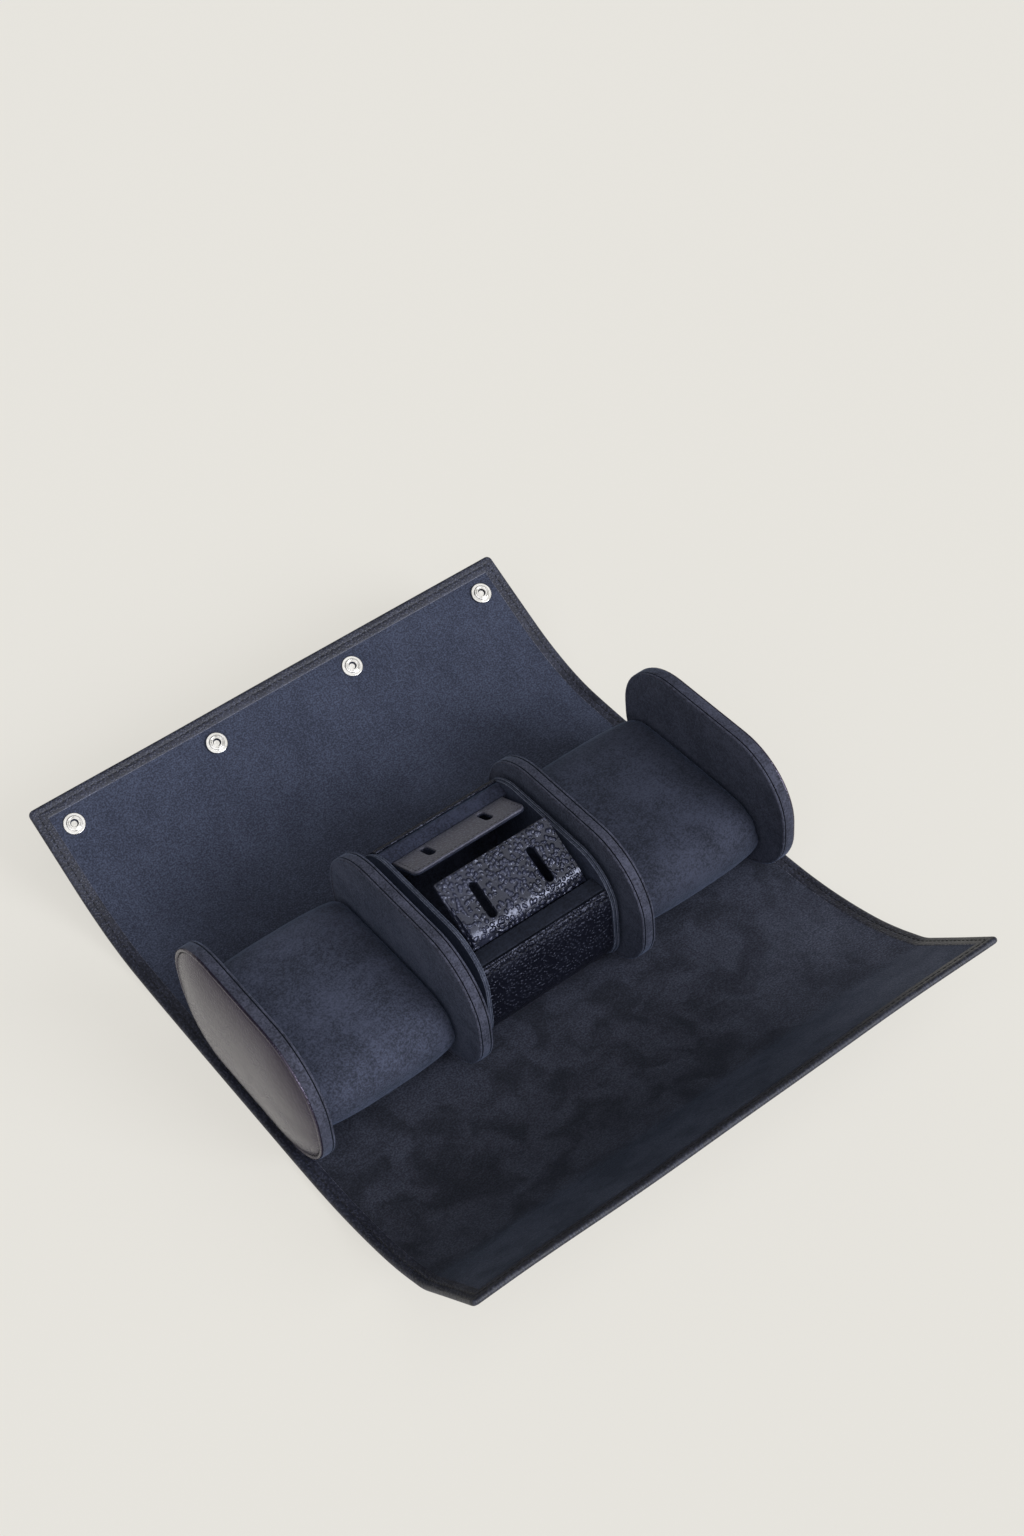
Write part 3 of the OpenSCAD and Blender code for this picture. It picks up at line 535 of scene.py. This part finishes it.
def roundedCorner(ex, es, radius):
    # Moves a grid spot near a free corner on to rings round the corner's centre
    m = min(ex, es)
    if ex >= radius or es >= radius or m >= radius:
        return ex, es
    ring = radius - m
    turn = math.radians(45) * (1 - (max(ex, es) - m) / ring)
    less, more = radius - ring * math.cos(turn), radius - ring * math.sin(turn)
    return (more, less) if es <= ex else (less, more)


def wrapDepth(e, under):
    # Depth of the leather's faces at a distance e from its edge
    half = wrap["thick"] / 2
    dip = wrap["seamDip"] * math.exp(-((e - wrap["seamIn"]) / wrap["seamWide"]) ** 2)
    if e < half:
        bulge = math.sqrt(max(0.0, half ** 2 - (half - e) ** 2))
        return -half - bulge if under else -half + bulge
    if under:
        return -wrap["thick"] + dip
    if e > wrap["turned"]:
        return -wrap["leather"] - wrap["overlap"]
    fall = max(0.0, (e - wrap["turned"] + wrap["cutWide"]) / wrap["cutWide"])
    return -dip - wrap["cutDeep"] * fall ** 2


def wrapPoint(x, station, depth, sign):
    ex = min(x - wrapLeft, wrapRight - x)
    es = station["rest"]
    if es < wrap["corner"] and ex < wrap["corner"]:
        newX, newS = roundedCorner(ex, es, wrap["corner"])
        x += (newX - ex) * (1 if x - wrapLeft < wrapRight - x else -1)
        station = straightOn(station, es - newS, es)
    long, short = wrap["waveLengths"]
    ramp = min(1.0, max(0.0, (station["s"] - wrap["waveFrom"]) / wrap["waveRise"]))
    wave = wrap["wave"] * ramp * (math.sin(x / long + 0.6 * sign) * 0.7 + math.sin(x / short + 2.1) * 0.3)
    deep = depth + wave
    y = station["y"] - deep * math.sin(station["a"])
    z = station["z"] + deep * math.cos(station["a"])
    return (x, sign * y, z), (x, sign * station["s"])


def wrapLeatherPiece(name, stations, sign):
    border = [wrapLeft + e for e in edgeSteps + pastEdge]
    inside = wrapRight - wrapLeft - 2 * wrap["turned"]
    n = round(inside / wrap["columnStep"])
    columns = border + [wrapLeft + wrap["turned"] + inside * k / n for k in range(1, n)]
    columns += [wrapLeft + wrapRight - x for x in reversed(border)]

    def place(x, station, under):
        e = min(x - wrapLeft, wrapRight - x, station["rest"])
        return wrapPoint(x, station, wrapDepth(e, under), sign)

    points, faces, flat = twoSheets(columns, stations, place)
    piece = newPiece(name, points, faces, wrapLeather, flat)
    piece.data.materials.append(cutEdge)
    spots = piece.data.uv_layers["flat"].data
    tip = stations[-1]["s"] if stations[-1]["rest"] < 1 else far
    for face in piece.data.polygons:
        u, v = (sum(spots[i].uv[k] for i in face.loop_indices) / len(face.loop_indices) / mm for k in (0, 1))
        e = min(u - wrapLeft, wrapRight - u, tip - abs(v))
        face.material_index = int(wrap["turned"] - wrap["cutBand"] < e < wrap["turned"] and face.normal.z > 0)
    return piece


def wrapLiningPiece(name, stations, sign):
    edge = wrap["turned"] - wrap["liningUnder"]
    kept = [s for s in stations if s["rest"] >= edge - 0.3]
    width = wrapRight - wrapLeft - 2 * edge
    n = round(width / wrap["columnStep"] * 1.5)
    columns = [wrapLeft + edge + width * k / n for k in range(n + 1)]

    def place(x, station, under):
        return wrapPoint(x, station, wrap["overlap"] - wrap["leather"] if under else -wrap["step"], sign)

    points, faces, flat = twoSheets(columns, kept, place)
    piece = newPiece(name, points, faces, liningSuede, flat)
    return piece


def wrapSeams(name, stations, sign):
    paths = []
    inset = wrap["seamIn"]
    sunk = wrap["seamDip"] - wrap["threadOut"]
    side = [s for s in stations if s["rest"] >= inset]
    for depth in (-sunk, sunk - wrap["thick"]):
        for x in (wrapLeft + inset, wrapRight - inset):
            paths.append([wrapPoint(x, s, depth, sign)[0] for s in side])
        if stations[-1]["rest"] < inset:
            end = side[-1]
            span = wrapRight - wrapLeft - 2 * inset
            paths.append([wrapPoint(wrapLeft + inset + span * k / 60, end, depth, sign)[0] for k in range(61)])
    return sew(name, paths)


def flatStations(start, end):
    # The rigid middle of the wrap, under the core
    n = 8
    return [{"y": start + (end - start) * k / n, "z": wrap["thick"], "a": 0.0,
             "s": start + (end - start) * k / n, "rest": far} for k in range(n + 1)]


sides = {"front": wrapSide("front", -1, wrap["frontFlap"]), "rear": wrapSide("rear", 1, wrap["rearFlap"])}
middle = flatStations(-sides["front"][0]["start"], sides["rear"][0]["start"])
carry(wrapLeatherPiece("base_leather_turned", middle, 1), "core", "base_leather")
carry(wrapLiningPiece("base_lining_suede", middle, 1), "core", "base_lining")
carry(wrapSeams("base_seams", middle, 1), "core")

for side, sign in (("front", -1), ("rear", 1)):
    for k, part in enumerate(sides[side], 1):
        after = side + "_strip_" + str(k)
        made = {
            "leather": wrapLeatherPiece(side + "_leather_turned_" + str(k), part["stations"], sign),
            "lining": wrapLiningPiece(side + "_lining_suede_" + str(k), part["stations"], sign),
            "seams": wrapSeams(side + "_seams_" + str(k), part["stations"], sign)}
        for kind, piece in made.items():
            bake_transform(piece)
            if kind != "seams":
                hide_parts(side + "_" + kind + "_" + str(k))
print("wrap made")


# Plates that stand across the roll: rings of a rounded outline at a list of (x, inset)
def outline(box, inset, steps=14):
    r = max(box[4] - inset, 0.05)
    y0, z0, y1, z1 = box[0] + inset + r, box[1] + inset + r, box[2] - inset - r, box[3] - inset - r
    centres = ((y1, z1), (y0, z1), (y0, z0), (y1, z0))
    return [p for k, c in enumerate(centres) for p in arcPoints(*c, r, 90 * k, 90 * k + 90, steps)]


def standing(name, box, layers, finish, x0, sign=1, marked=(), mark=None):
    # The faces after each layer named in marked have a finish of their own
    rings = [[(x0 + sign * x, y, z) for y, z in outline(box, inset)] for x, inset in layers]
    piece = newPiece(name, *tube(rings), finish)
    if marked:
        piece.data.materials.append(mark)
        n = len(rings[0])
        for j in marked:
            for face in piece.data.polygons[j * n:(j + 1) * n]:
                face.material_index = 1
    return piece


def mirrored(half, whole):
    return half + [(whole - x, inset) for x, inset in reversed(half)]


def boxOf(node, *radius):
    a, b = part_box(node)
    return a.y / mm, a.z / mm, b.y / mm, b.z / mm, *radius


disc = {
    "radius": 36.0, "seamIn": 2.45, "seamDeep": 0.62, "stitch": (3.0, 2.1, 0.26), "grooves": (7, 8, 9),
    # (x from the outer face, inset) of the leather face: rim, sewn groove and padded middle
    "face": [(1.15, 8.0), (1.15, 0.42), (0.75, 0.4), (0.35, 0.5), (0.08, 0.8), (0.0, 1.15), (0.03, 1.55),
             (0.2, 1.85), (0.62, 2.1), (0.8, 2.4), (0.5, 2.75), (0.05, 3.3), (-0.5, 4.2), (-1.2, 5.8),
             (-1.95, 8.0), (-2.8, 11.0), (-3.6, 15.0), (-4.3, 20.0), (-4.85, 27.0), (-5.05, 34.0)],
    # of the suede round its edge and inner face
    "suede": [(1.2, 8.0), (1.2, 0.5), (1.28, 0.15), (1.6, 0.0), (3.0, 0.0), (4.6, 0.0), (5.9, 0.0), (6.15, 0.1),
              (6.25, 0.7), (6.65, 0.7), (6.75, 0.1), (6.98, 0.0), (7.4, 0.05), (7.75, 0.3), (7.93, 0.75),
              (7.9, 1.2), (7.6, 1.5), (7.5, 1.8), (7.52, 3.0), (7.6, 8.0), (7.62, 20.0), (7.62, 34.0)],
}
divider = {
    "thick": 7.7, "grooves": (11, 12, 13),
    "half": [(0.35, 34.0), (0.36, 20.0), (0.4, 8.0), (0.47, 3.0), (0.5, 1.8), (0.4, 1.5), (0.1, 1.2), (0.05, 0.75),
             (0.22, 0.3), (0.55, 0.05), (0.98, 0.0), (1.18, 0.1), (1.28, 0.7), (1.68, 0.7), (1.78, 0.1),
             (2.05, 0.0), (2.8, 0.0)],
}

for side, sign in (("left", 1), ("right", -1)):
    low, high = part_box(side + "_disc_leather")
    outer = (low.x if sign == 1 else high.x) / mm
    box = boxOf(side + "_disc_suede", disc["radius"])
    face = standing(side + "_disc_face", box, disc["face"], faceLeather, outer, sign)
    cover = standing(side + "_disc_cover", box, disc["suede"], panelSuede, outer, sign, disc["grooves"], grooveShadeSuede)
    ring = outline(box, disc["seamIn"], 24)
    path = [(outer + sign * disc["seamDeep"], y, z) for y, z in ring + ring[:1]]
    seams = sew(side + "_disc_seam", [path], disc["stitch"])
    carry(face, "core", side + "_disc_leather")
    carry(cover, "core", side + "_disc_suede")
    carry(seams, "core")

    low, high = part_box(side + "_divider_suede")
    layers = mirrored(divider["half"], divider["thick"])
    grooves = [*divider["grooves"], *(len(layers) - 2 - k for k in divider["grooves"])]
    piece = standing(side + "_divider_cover", boxOf(side + "_divider_suede", disc["radius"]), layers, panelSuede,
                     low.x / mm, 1, grooves, grooveShadeSuede)
    carry(piece, "core", side + "_divider_suede")
print("discs and dividers made")


# Watch pillows: a lofted cushion, filled out by a short cloth simulation
pillow = {
    "round": 19.5, "crown": 1.3, "draw": 1.9, "edge": 3.2, "slack": 0.9, "voxel": 0.0045,
    "pressure": 4.0, "stiffness": 25, "quality": 6, "frames": 20, "most": 1.1, "gap": 0.25, "levels": 2,
    "foamIn": 3.5, "foamRound": 12.8, "foamEdge": [(0, 2.5), (0.9, 1.1)], "sideGap": 0.1, "fill": 0.9,
}


def pillowMesh(name, low, high):
    half = (high.x - low.x) / 2 / mm - pillow["gap"]
    r = pillow["round"] - pillow["slack"]
    flatHalf = (high.y - low.y) / 2 / mm - pillow["round"]
    mid = ((low.x + high.x) / 2 / mm, (low.y + high.y) / 2 / mm, low.z / mm + pillow["round"])

    def section(e):
        q = r - e
        lift = pillow["crown"] * (1 - e / r)
        top = [(flatHalf * u, q + lift * (1 - u * u)) for u in (1 - i / 8 for i in range(1, 16))]
        foot = [(flatHalf * u, -q) for u in (i / 8 - 1 for i in range(1, 16))]
        return arcPoints(flatHalf, 0, q, -90, 90, 16) + top + arcPoints(-flatHalf, 0, q, 90, 270, 16) + foot

    m = half - pillow["edge"]
    rings = [(-half + pillow["edge"] * (1 - math.cos(t)), pillow["draw"] + pillow["edge"] * (1 - math.sin(t)))
             for t in (math.radians(90 * i / 4) for i in range(5))]
    along = rings + [(m * u, pillow["draw"] * abs(u) ** 3) for u in (i / 8 - 1 for i in range(1, 16))]
    along += [(-x, e) for x, e in reversed(rings)]
    points, faces = tube([[(mid[0] + x, mid[1] + y, mid[2] + z) for y, z in section(e)] for x, e in along])
    return newPiece(name, points, faces, coreSuede, sharp=80)


def puff(piece):
    # Remesh, blow up gently as cloth, and hold each point near where it started
    bpy.context.view_layer.objects.active = piece
    remesh = piece.modifiers.new("remesh", "REMESH")
    remesh.mode = "VOXEL"
    remesh.voxel_size = pillow["voxel"]
    applyAll(piece)
    rest = [v.co.copy() for v in piece.data.vertices]
    cloth = piece.modifiers.new("cloth", "CLOTH")
    cloth.settings.use_pressure = True
    cloth.settings.uniform_pressure_force = pillow["pressure"]
    cloth.settings.effector_weights.gravity = 0
    cloth.settings.quality = pillow["quality"]
    cloth.settings.tension_stiffness = pillow["stiffness"]
    cloth.settings.compression_stiffness = pillow["stiffness"]
    cloth.point_cache.frame_start = 1
    cloth.point_cache.frame_end = pillow["frames"]
    for number in range(1, pillow["frames"] + 1):
        bpy.context.scene.frame_set(number)
    applyAll(piece)
    bpy.context.scene.frame_set(1)
    for v, start in zip(piece.data.vertices, rest):
        moved = v.co - start
        if moved.length > pillow["most"] * mm:
            v.co = start + moved.normalized() * pillow["most"] * mm


for side in ("left", "right"):
    low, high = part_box(side + "_pillow")
    piece = pillowMesh(side + "_watch_pillow", low, high)
    puff(piece)
    for v in piece.data.vertices:
        v.co.x = min(max(v.co.x, low.x + pillow["sideGap"] * mm), high.x - pillow["sideGap"] * mm)
        v.co.z = max(v.co.z, low.z)
    smooth = piece.modifiers.new("smooth", "SUBSURF")
    smooth.levels = smooth.render_levels = pillow["levels"]
    applyAll(piece)
    smoothAll(piece.data)
    if not piece.data.materials:
        piece.data.materials.append(coreSuede)
    carry(piece, side + "_pillow", side + "_pillow")
    low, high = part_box(side + "_pillow_foam")
    end = (high.x - low.x) / mm - 2 * pillow["foamIn"]
    foam = standing(side + "_foam_core", boxOf(side + "_pillow_foam", pillow["foamRound"]),
                    mirrored(pillow["foamEdge"], end), foamFinish, low.x / mm + pillow["foamIn"])
    carry(foam, side + "_pillow", side + "_pillow_foam")
print("pillows made")


# Tray: leather round the shell, ledge, shoulder and layered end plates
tray = {
    "radius": 24.0, "leather": 1.2, "columns": 12, "seams": (1.7, 4.6), "seamDip": 0.16, "seamWide": 0.5,
    "stitch": (2.6, 1.9, 0.24), "seamEnd": 1, "seamDeep": 0.05,
    "plateRadius": 26.0, "plateRise": 0.5, "innerLess": 0.6, "ledgeBevel": 0.55,
    "shoulderWidth": 6.4, "shoulderFall": 2.2, "shoulderBevel": 0.4,
}
trayLeft, trayRight = (corner.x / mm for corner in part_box("tray_leather"))
trayBox = (*boxOf("tray_leather")[:3], boxOf("left_plate_outer")[3] - tray["plateRise"], tray["radius"])
frontRim, rearRim = boxOf("tray_ledge")[3], boxOf("tray_shoulder")[3]


def trayStations():
    y0, z0, y1, z1, r = trayBox
    start = math.degrees(math.asin((frontRim - (z1 - r)) / r))
    end = math.degrees(math.asin((rearRim - (z1 - r)) / r))
    path = []

    def arc(cy, cz, a, b, steps):
        for i in range(steps + 1):
            t = math.radians(a + (b - a) * i / steps)
            path.append((cy + r * math.cos(t), cz + r * math.sin(t), math.cos(t), math.sin(t)))

    arc(y0 + r, z1 - r, 180 - start, 180, 30)
    height, floor = z1 - z0 - 2 * r, y1 - y0 - 2 * r
    path += [(y0, z1 - r - height * k / 6, -1, 0) for k in range(1, 6)]
    arc(y0 + r, z0 + r, 180, 270, 24)
    path += [(y0 + r + floor * k / 10, z0, 0, -1) for k in range(1, 10)]
    arc(y1 - r, z0 + r, 270, 360, 24)
    path += [(y1, z0 + r + height * k / 6, 1, 0) for k in range(1, 6)]
    arc(y1 - r, z1 - r, 0, end, 40)
    run, stations = 0.0, []
    for before, (y, z, ny, nz) in zip(path[:1] + path, path):
        run += math.dist(before[:2], (y, z))
        stations.append({"y": y, "z": z, "ny": ny, "nz": nz, "s": run})
    for s in stations:
        s["rest"] = min(s["s"], run - s["s"])
    return stations


def trayPoint(x, s, depth):
    return (x, s["y"] + depth * s["ny"], s["z"] + depth * s["nz"]), (x, s["s"])


def trayDepth(e, under):
    r = tray["leather"] / 2
    if e < r:
        bulge = math.sqrt(r * r - (r - e) ** 2)
        return -r - bulge if under else -r + bulge
    dip = sum(tray["seamDip"] * math.exp(-((e - d) / tray["seamWide"]) ** 2) for d in tray["seams"])
    return -tray["leather"] if under else -dip


trayRun = trayStations()
rimmed = []
for s, after in zip(trayRun, trayRun[1:] + [None]):
    rimmed.append(s)
    if after and (s["s"] == 0 or after["rest"] == 0):
        for f in (0.15, 0.4, 0.7):
            f = f if s["s"] == 0 else f + 0.15
            rimmed.append({key: s[key] * (1 - f) + after[key] * f for key in s})
trayWidth = trayRight - trayLeft
columns = [trayLeft + trayWidth * k / tray["columns"] for k in range(tray["columns"] + 1)]
points, faces, _ = twoSheets(columns, rimmed, lambda x, s, under: trayPoint(x, s, trayDepth(s["rest"], under)))
carry(newPiece("tray_wall_leather", points, faces, wallLeather), "tray", "tray_leather")
paths = []
for distance in tray["seams"]:
    for order in (trayRun, trayRun[::-1]):
        near = min(order, key=lambda s: abs(abs(s["s"] - order[0]["s"]) - distance))
        paths.append([trayPoint(trayLeft + tray["seamEnd"] + (trayWidth - 2 * tray["seamEnd"]) * k / 20, near,
                                -tray["seamDeep"])[0] for k in range(21)])
carry(sew("tray_seams", paths, tray["stitch"]), "tray")


def prism(name, corners, x0, x1, bevel, finish):
    # A bar along the roll with rounded edges; corners are (y, z)
    piece = newPiece(name, *tube([[(x, y, z) for y, z in corners] for x in (x0, x1)]), finish)
    edge = piece.modifiers.new("edge", "BEVEL")
    edge.width = bevel * mm
    edge.segments = 3
    edge.limit_method = "ANGLE"
    applyAll(piece)
    smoothAll(piece.data)
    piece.data.set_sharp_from_angle(angle=math.radians(40))
    return piece


y0, z0, y1, z1 = boxOf("tray_ledge")
piece = prism("ledge_suede", [(y0, z0), (y1, z0), (y1, z1), (y0, z1)], trayLeft, trayRight, tray["ledgeBevel"],
              ledgeShadeSuede)
carry(piece, "tray", "tray_ledge")
y0, z0, y1, z1 = boxOf("tray_shoulder")
corners = [(y1, z0), (y0 + tray["shoulderWidth"], z1), (y0, z1 - tray["shoulderFall"]), (y0, z0)]
piece = prism("shoulder_suede", corners, trayLeft, trayRight, tray["shoulderBevel"], trimSuede)
carry(piece, "tray", "tray_shoulder")

# (x, inset) of a plate's layer, and the rings of its rims, which are painted lighter as a painted highlight
plateLayer = [(0.04, 20.0), (0.04, 0.6), (0.12, 0.22), (0.28, 0.04), (0.5, 0.0), (1.0, 0.0), (1.22, 0.04),
              (1.38, 0.22), (1.46, 0.6), (1.46, 20.0)]
plateHighlightRims = (2, 3, 5, 6)
for side in ("left", "right"):
    for layer in ("outer", "inner"):
        node = side + "_plate_" + layer
        radius = tray["plateRadius"] - (tray["innerLess"] if layer == "inner" else 0)
        piece = standing(node + "_suede", boxOf(node, radius), plateLayer, trimSuede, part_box(node)[0].x / mm, 1,
                         plateHighlightRims, rimHighlightSuede)
        carry(piece, "tray", node)
print("tray made")


# Leaves: slotted leather panels, meshed in their flat pattern and then bent
leaves = {
    "front": {"length": 26.8, "bend": 10.5, "turn": 57.0, "slope": 28.0, "corner": 1.2, "slotLength": 19.5,
              "slotX": 16.7, "sign": 1, "finish": pebbleLeather},
    "rear": {"length": 22.5, "bend": 10.5, "turn": 0.0, "slope": 26.0, "corner": 4.0, "slotLength": 12.0,
             "slotX": 16.9, "sign": -1, "finish": leafReflectionLeather},
}
leafShape = {
    "slotWidth": 4.4, "slotEdge": 8.15, "leather": 1.2, "lining": 0.8, "round": 0.45, "mesh": 1.3,
    "seamIn": 1.9, "seamDip": 0.15, "seamWide": 0.45, "seamDeep": 0.05, "stitch": (2.6, 1.9, 0.22),
}


def leafOutline(width, length, corner, inset):
    r = max(corner - inset, 0.02)
    w = width / 2 - inset
    ring = [(-w, inset), (w, inset)]
    for cx, start in ((w - r, 0), (-w + r, 90)):
        ring += arcPoints(cx, length - inset - r, r, start, start + 90, 6)
    return ring


def slotOutline(x, y0, y1, radius):
    return arcPoints(x, y1, radius, 0, 180, 10) + arcPoints(x, y0, radius, 180, 360, 10)


def leafPanel(leaf, width, length, top, bottom):
    # Points, faces and flat spots of one layer, between depths top and bottom under the leaf's upper face
    r = min(leafShape["round"], (bottom - top) / 2)
    slotR = leafShape["slotWidth"] / 2
    slotEnds = (length - leafShape["slotEdge"] - leaf["slotLength"] + slotR, length - leafShape["slotEdge"] - slotR)
    insets = [0, 0.25 * r, r]

    def depthIn(x, y):
        # How far a spot is from the panel's edge and from its slots
        fromSlot = math.hypot(abs(x) - leaf["slotX"], y - min(max(y, slotEnds[0]), slotEnds[1])) - slotR
        corner, side, end = leaf["corner"], width / 2 - abs(x), length - y
        fromEdge = min(side, y, end)
        if side < corner and end < corner:
            fromEdge = corner - math.hypot(corner - side, corner - end)
        return fromEdge, fromSlot

    spots, edges = [], []

    def loop(ring):
        first = len(spots)
        spots.extend(ring)
        edges.extend((first + k, first + (k + 1) % len(ring)) for k in range(len(ring)))

    for inset in insets:
        loop(leafOutline(width, length, leaf["corner"], inset))
        for s in (-1, 1):
            loop(slotOutline(s * leaf["slotX"], *slotEnds, slotR + inset))
    step = leafShape["mesh"]
    across, along = round(width / step), round(length / step)
    for i in range(1, across):
        for j in range(1, along):
            spot = (-width / 2 + width * i / across, length * j / along)
            if min(depthIn(*spot)) > r + step * 0.45:
                spots.append(spot)
    found = delaunay_2d_cdt([Vector(p) for p in spots], edges, [], 0, 1e-5)
    spots, triangles = [tuple(v) for v in found[0]], []
    for triangle in found[2]:
        centre = [sum(spots[i][k] for i in triangle) / 3 for k in (0, 1)]
        if min(depthIn(*centre)) > 0:
            triangles.append(list(triangle))
    points = []
    n = len(spots)
    for under in (False, True):
        for x, y in spots:
            fromEdge, fromSlot = depthIn(x, y)
            d = max(0.0, min(fromEdge, fromSlot, r))
            fall = r - math.sqrt(max(0.0, r * r - (r - d) ** 2))
            dip = leafShape["seamDip"] * math.exp(-((fromEdge - leafShape["seamIn"]) / leafShape["seamWide"]) ** 2)
            depth = bottom - fall if under else top + fall + (dip if top == 0 else 0)
            points.append(leafPoint(leaf, x, y, depth))
    faces = triangles + [[n + i for i in reversed(t)] for t in triangles]
    # Walls close the panel at each edge that only one triangle uses
    used = {}
    for t in triangles:
        for a, b in zip(t, t[1:] + t[:1]):
            key = (min(a, b), max(a, b))
            used[key] = used.get(key, 0) + 1
    faces += [[a, b, n + b, n + a] for (a, b), times in used.items() if times == 1]
    return points, faces


def leafPoint(leaf, x, y, depth):
    # Carries a spot of the flat pattern round the bend, under the upper face by depth
    turn = math.radians(leaf["turn"])
    start = math.radians(leaf["slope"]) + turn
    arc = leaf["bend"] * turn
    t = start - min(y, arc) / leaf["bend"]
    straight = max(0.0, y - arc)
    py = leaf["bend"] * (math.sin(start) - math.sin(t)) + straight * math.cos(t)
    pz = leaf["bend"] * (math.cos(t) - math.cos(start)) + straight * math.sin(t)
    return (leaf["x"] + x, leaf["y"] + leaf["sign"] * (py + depth * math.sin(t)),
            leaf["z"] + pz - depth * math.cos(t))


hinges = {j["name"]: j["pos_m"] for j in frame["joints"] if "pos_m" in j}
for side, leaf in leaves.items():
    low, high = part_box(side + "_leaf")
    width = (high.x - low.x) / mm
    length = leaf["length"] + leaf["bend"] * math.radians(leaf["turn"])
    leaf["x"] = (low.x + high.x) / 2 / mm
    leaf["y"], leaf["z"] = (c / mm for c in hinges[side + "_leaf_hinge"][1:])
    edge, whole = leafShape["leather"], leafShape["leather"] + leafShape["lining"]
    upper = newPiece(side + "_leaf_panel", *leafPanel(leaf, width, length, 0, edge), leaf["finish"], sharp=50)
    under = newPiece(side + "_leaf_back", *leafPanel(leaf, width, length, edge, whole), trimSuede, sharp=50)
    inset = leafShape["seamIn"]
    reach, foot, tip = width / 2 - inset, inset + 1, length - inset
    corners = [Vector(p) for p in ((reach, foot), (reach, tip), (-reach, tip), (-reach, foot))]
    run = [a.lerp(b, k / 24) for a, b in zip(corners, corners[1:]) for k in range(24)] + corners[-1:]
    path = [leafPoint(leaf, x, y, leafShape["seamDeep"]) for x, y in run]
    carry(upper, side + "_leaf", side + "_leaf")
    carry(under, side + "_leaf", side + "_leaf_lining")
    carry(sew(side + "_leaf_seam", [path], leafShape["stitch"]), side + "_leaf")
print("leaves made")


# Studio: pale floor, soft light and the photograph's view
view = {
    "turn": -30.47, "tilt": 44.65, "roll": -7.79, "distance": 1248.9, "target": (54.97, 126.83, 30.0),
    "focal": 2381.1, "centre": (424.6, 713.0), "picture": (1024, 1536), "sensor": 36.0, "clip": (0.05, 30),
}
light = {
    "world": "f2f3f5", "worldStrength": 0.14, "backdrop": (0.1, 0.4),
    # Softboxes far away: direction they come from, colour, strength and width in degrees
    "lamps": [("key", (0.38, -0.83, 0.42), "f0f4ff", 2.6, 30), ("front", (-0.45, -0.6, 0.66), "f4f6ff", 1.3, 60),
              ("top", (0.3, -0.4, 0.87), "ffffff", 0.6, 50)],
    # The floor glows as well, like a light table, so shadows stay faint
    "floor": ("7a7973", "767571"), "floorPatch": 0.4, "floorReach": 6000, "glow": "e7e4dd", "glowStrength": 0.78,
}


def placeCamera():
    turn, tilt, roll = (math.radians(view[k]) for k in ("turn", "tilt", "roll"))
    back = Vector((math.sin(turn) * math.cos(tilt), -math.cos(turn) * math.cos(tilt), math.sin(tilt)))
    side = Vector((math.cos(turn), math.sin(turn), 0))
    up = back.cross(side)
    right = side * math.cos(roll) + up * math.sin(roll)
    above = up * math.cos(roll) - side * math.sin(roll)
    data = bpy.data.cameras.new("camera")
    camera = putIn("camera", data)
    matrix = Matrix((right, above, back)).transposed().to_4x4()
    matrix.translation = Vector(view["target"]) * mm + back * view["distance"] * mm
    camera.matrix_world = matrix
    width, height = view["picture"]
    data.sensor_fit = "VERTICAL"
    data.sensor_height = view["sensor"]
    data.lens = view["focal"] / height * view["sensor"]
    data.shift_x = (width / 2 - view["centre"][0]) / height
    data.shift_y = (view["centre"][1] - height / 2) / height
    data.clip_start, data.clip_end = view["clip"]
    bpy.context.scene.camera = camera


def softLamp(name, direction, colour, strength, width):
    data = bpy.data.lights.new(name, "SUN")
    data.color = linearColour(colour)[:3]
    data.energy = strength
    data.angle = math.radians(width)
    putIn(name, data).rotation_euler = Vector(direction).to_track_quat("Z", "Y").to_euler()


def studio():
    world = bpy.data.worlds.new("studio")
    world.use_nodes = True
    tree = world.node_tree
    add = partial(addNode, tree)
    # Pale at the horizon, like a white backdrop, and dim overhead
    way = add("ShaderNodeSeparateXYZ", i0=add("ShaderNodeTexCoord").outputs["Generated"])
    low, high = light["backdrop"]
    fade = add("ShaderNodeMapRange", {"interpolation_type": "SMOOTHSTEP"}, i0=way.outputs[2], i1=low, i2=high)
    dim = [c * light["worldStrength"] for c in linearColour(light["world"])[:3]] + [1.0]
    sky = add("ShaderNodeMix", {"data_type": "RGBA"}, i0=fade.outputs[0], i6=linearColour(light["glow"]), i7=dim)
    tree.links.new(sky.outputs[2], tree.nodes["Background"].inputs[0])
    bpy.context.scene.world = world
    for lamp in light["lamps"]:
        softLamp(*lamp)
    bpy.context.scene.view_settings.view_transform = "Standard"
    s = Shader("paleFloor")
    tone = s.noise(whereOn(s, False), light["floorPatch"])
    colour = s.mix(s.between(tone, 0.2, 0.8, 0.0, 0.06), *(linearColour(c) for c in light["floor"]))
    material = s.finish(
        {"Roughness": 0.9, "Specular IOR Level": 0.05, "Emission Color": linearColour(light["glow"]),
         "Emission Strength": light["glowStrength"]}, Base_Color=colour)
    reach = light["floorReach"]
    corners = [(-reach, -reach, 0), (reach, -reach, 0), (reach, reach, 0), (-reach, reach, 0)]
    newPiece("floor", corners, [[0, 1, 2, 3]], material)


placeCamera()
studio()
print("studio set")

bpy.context.view_layer.update()
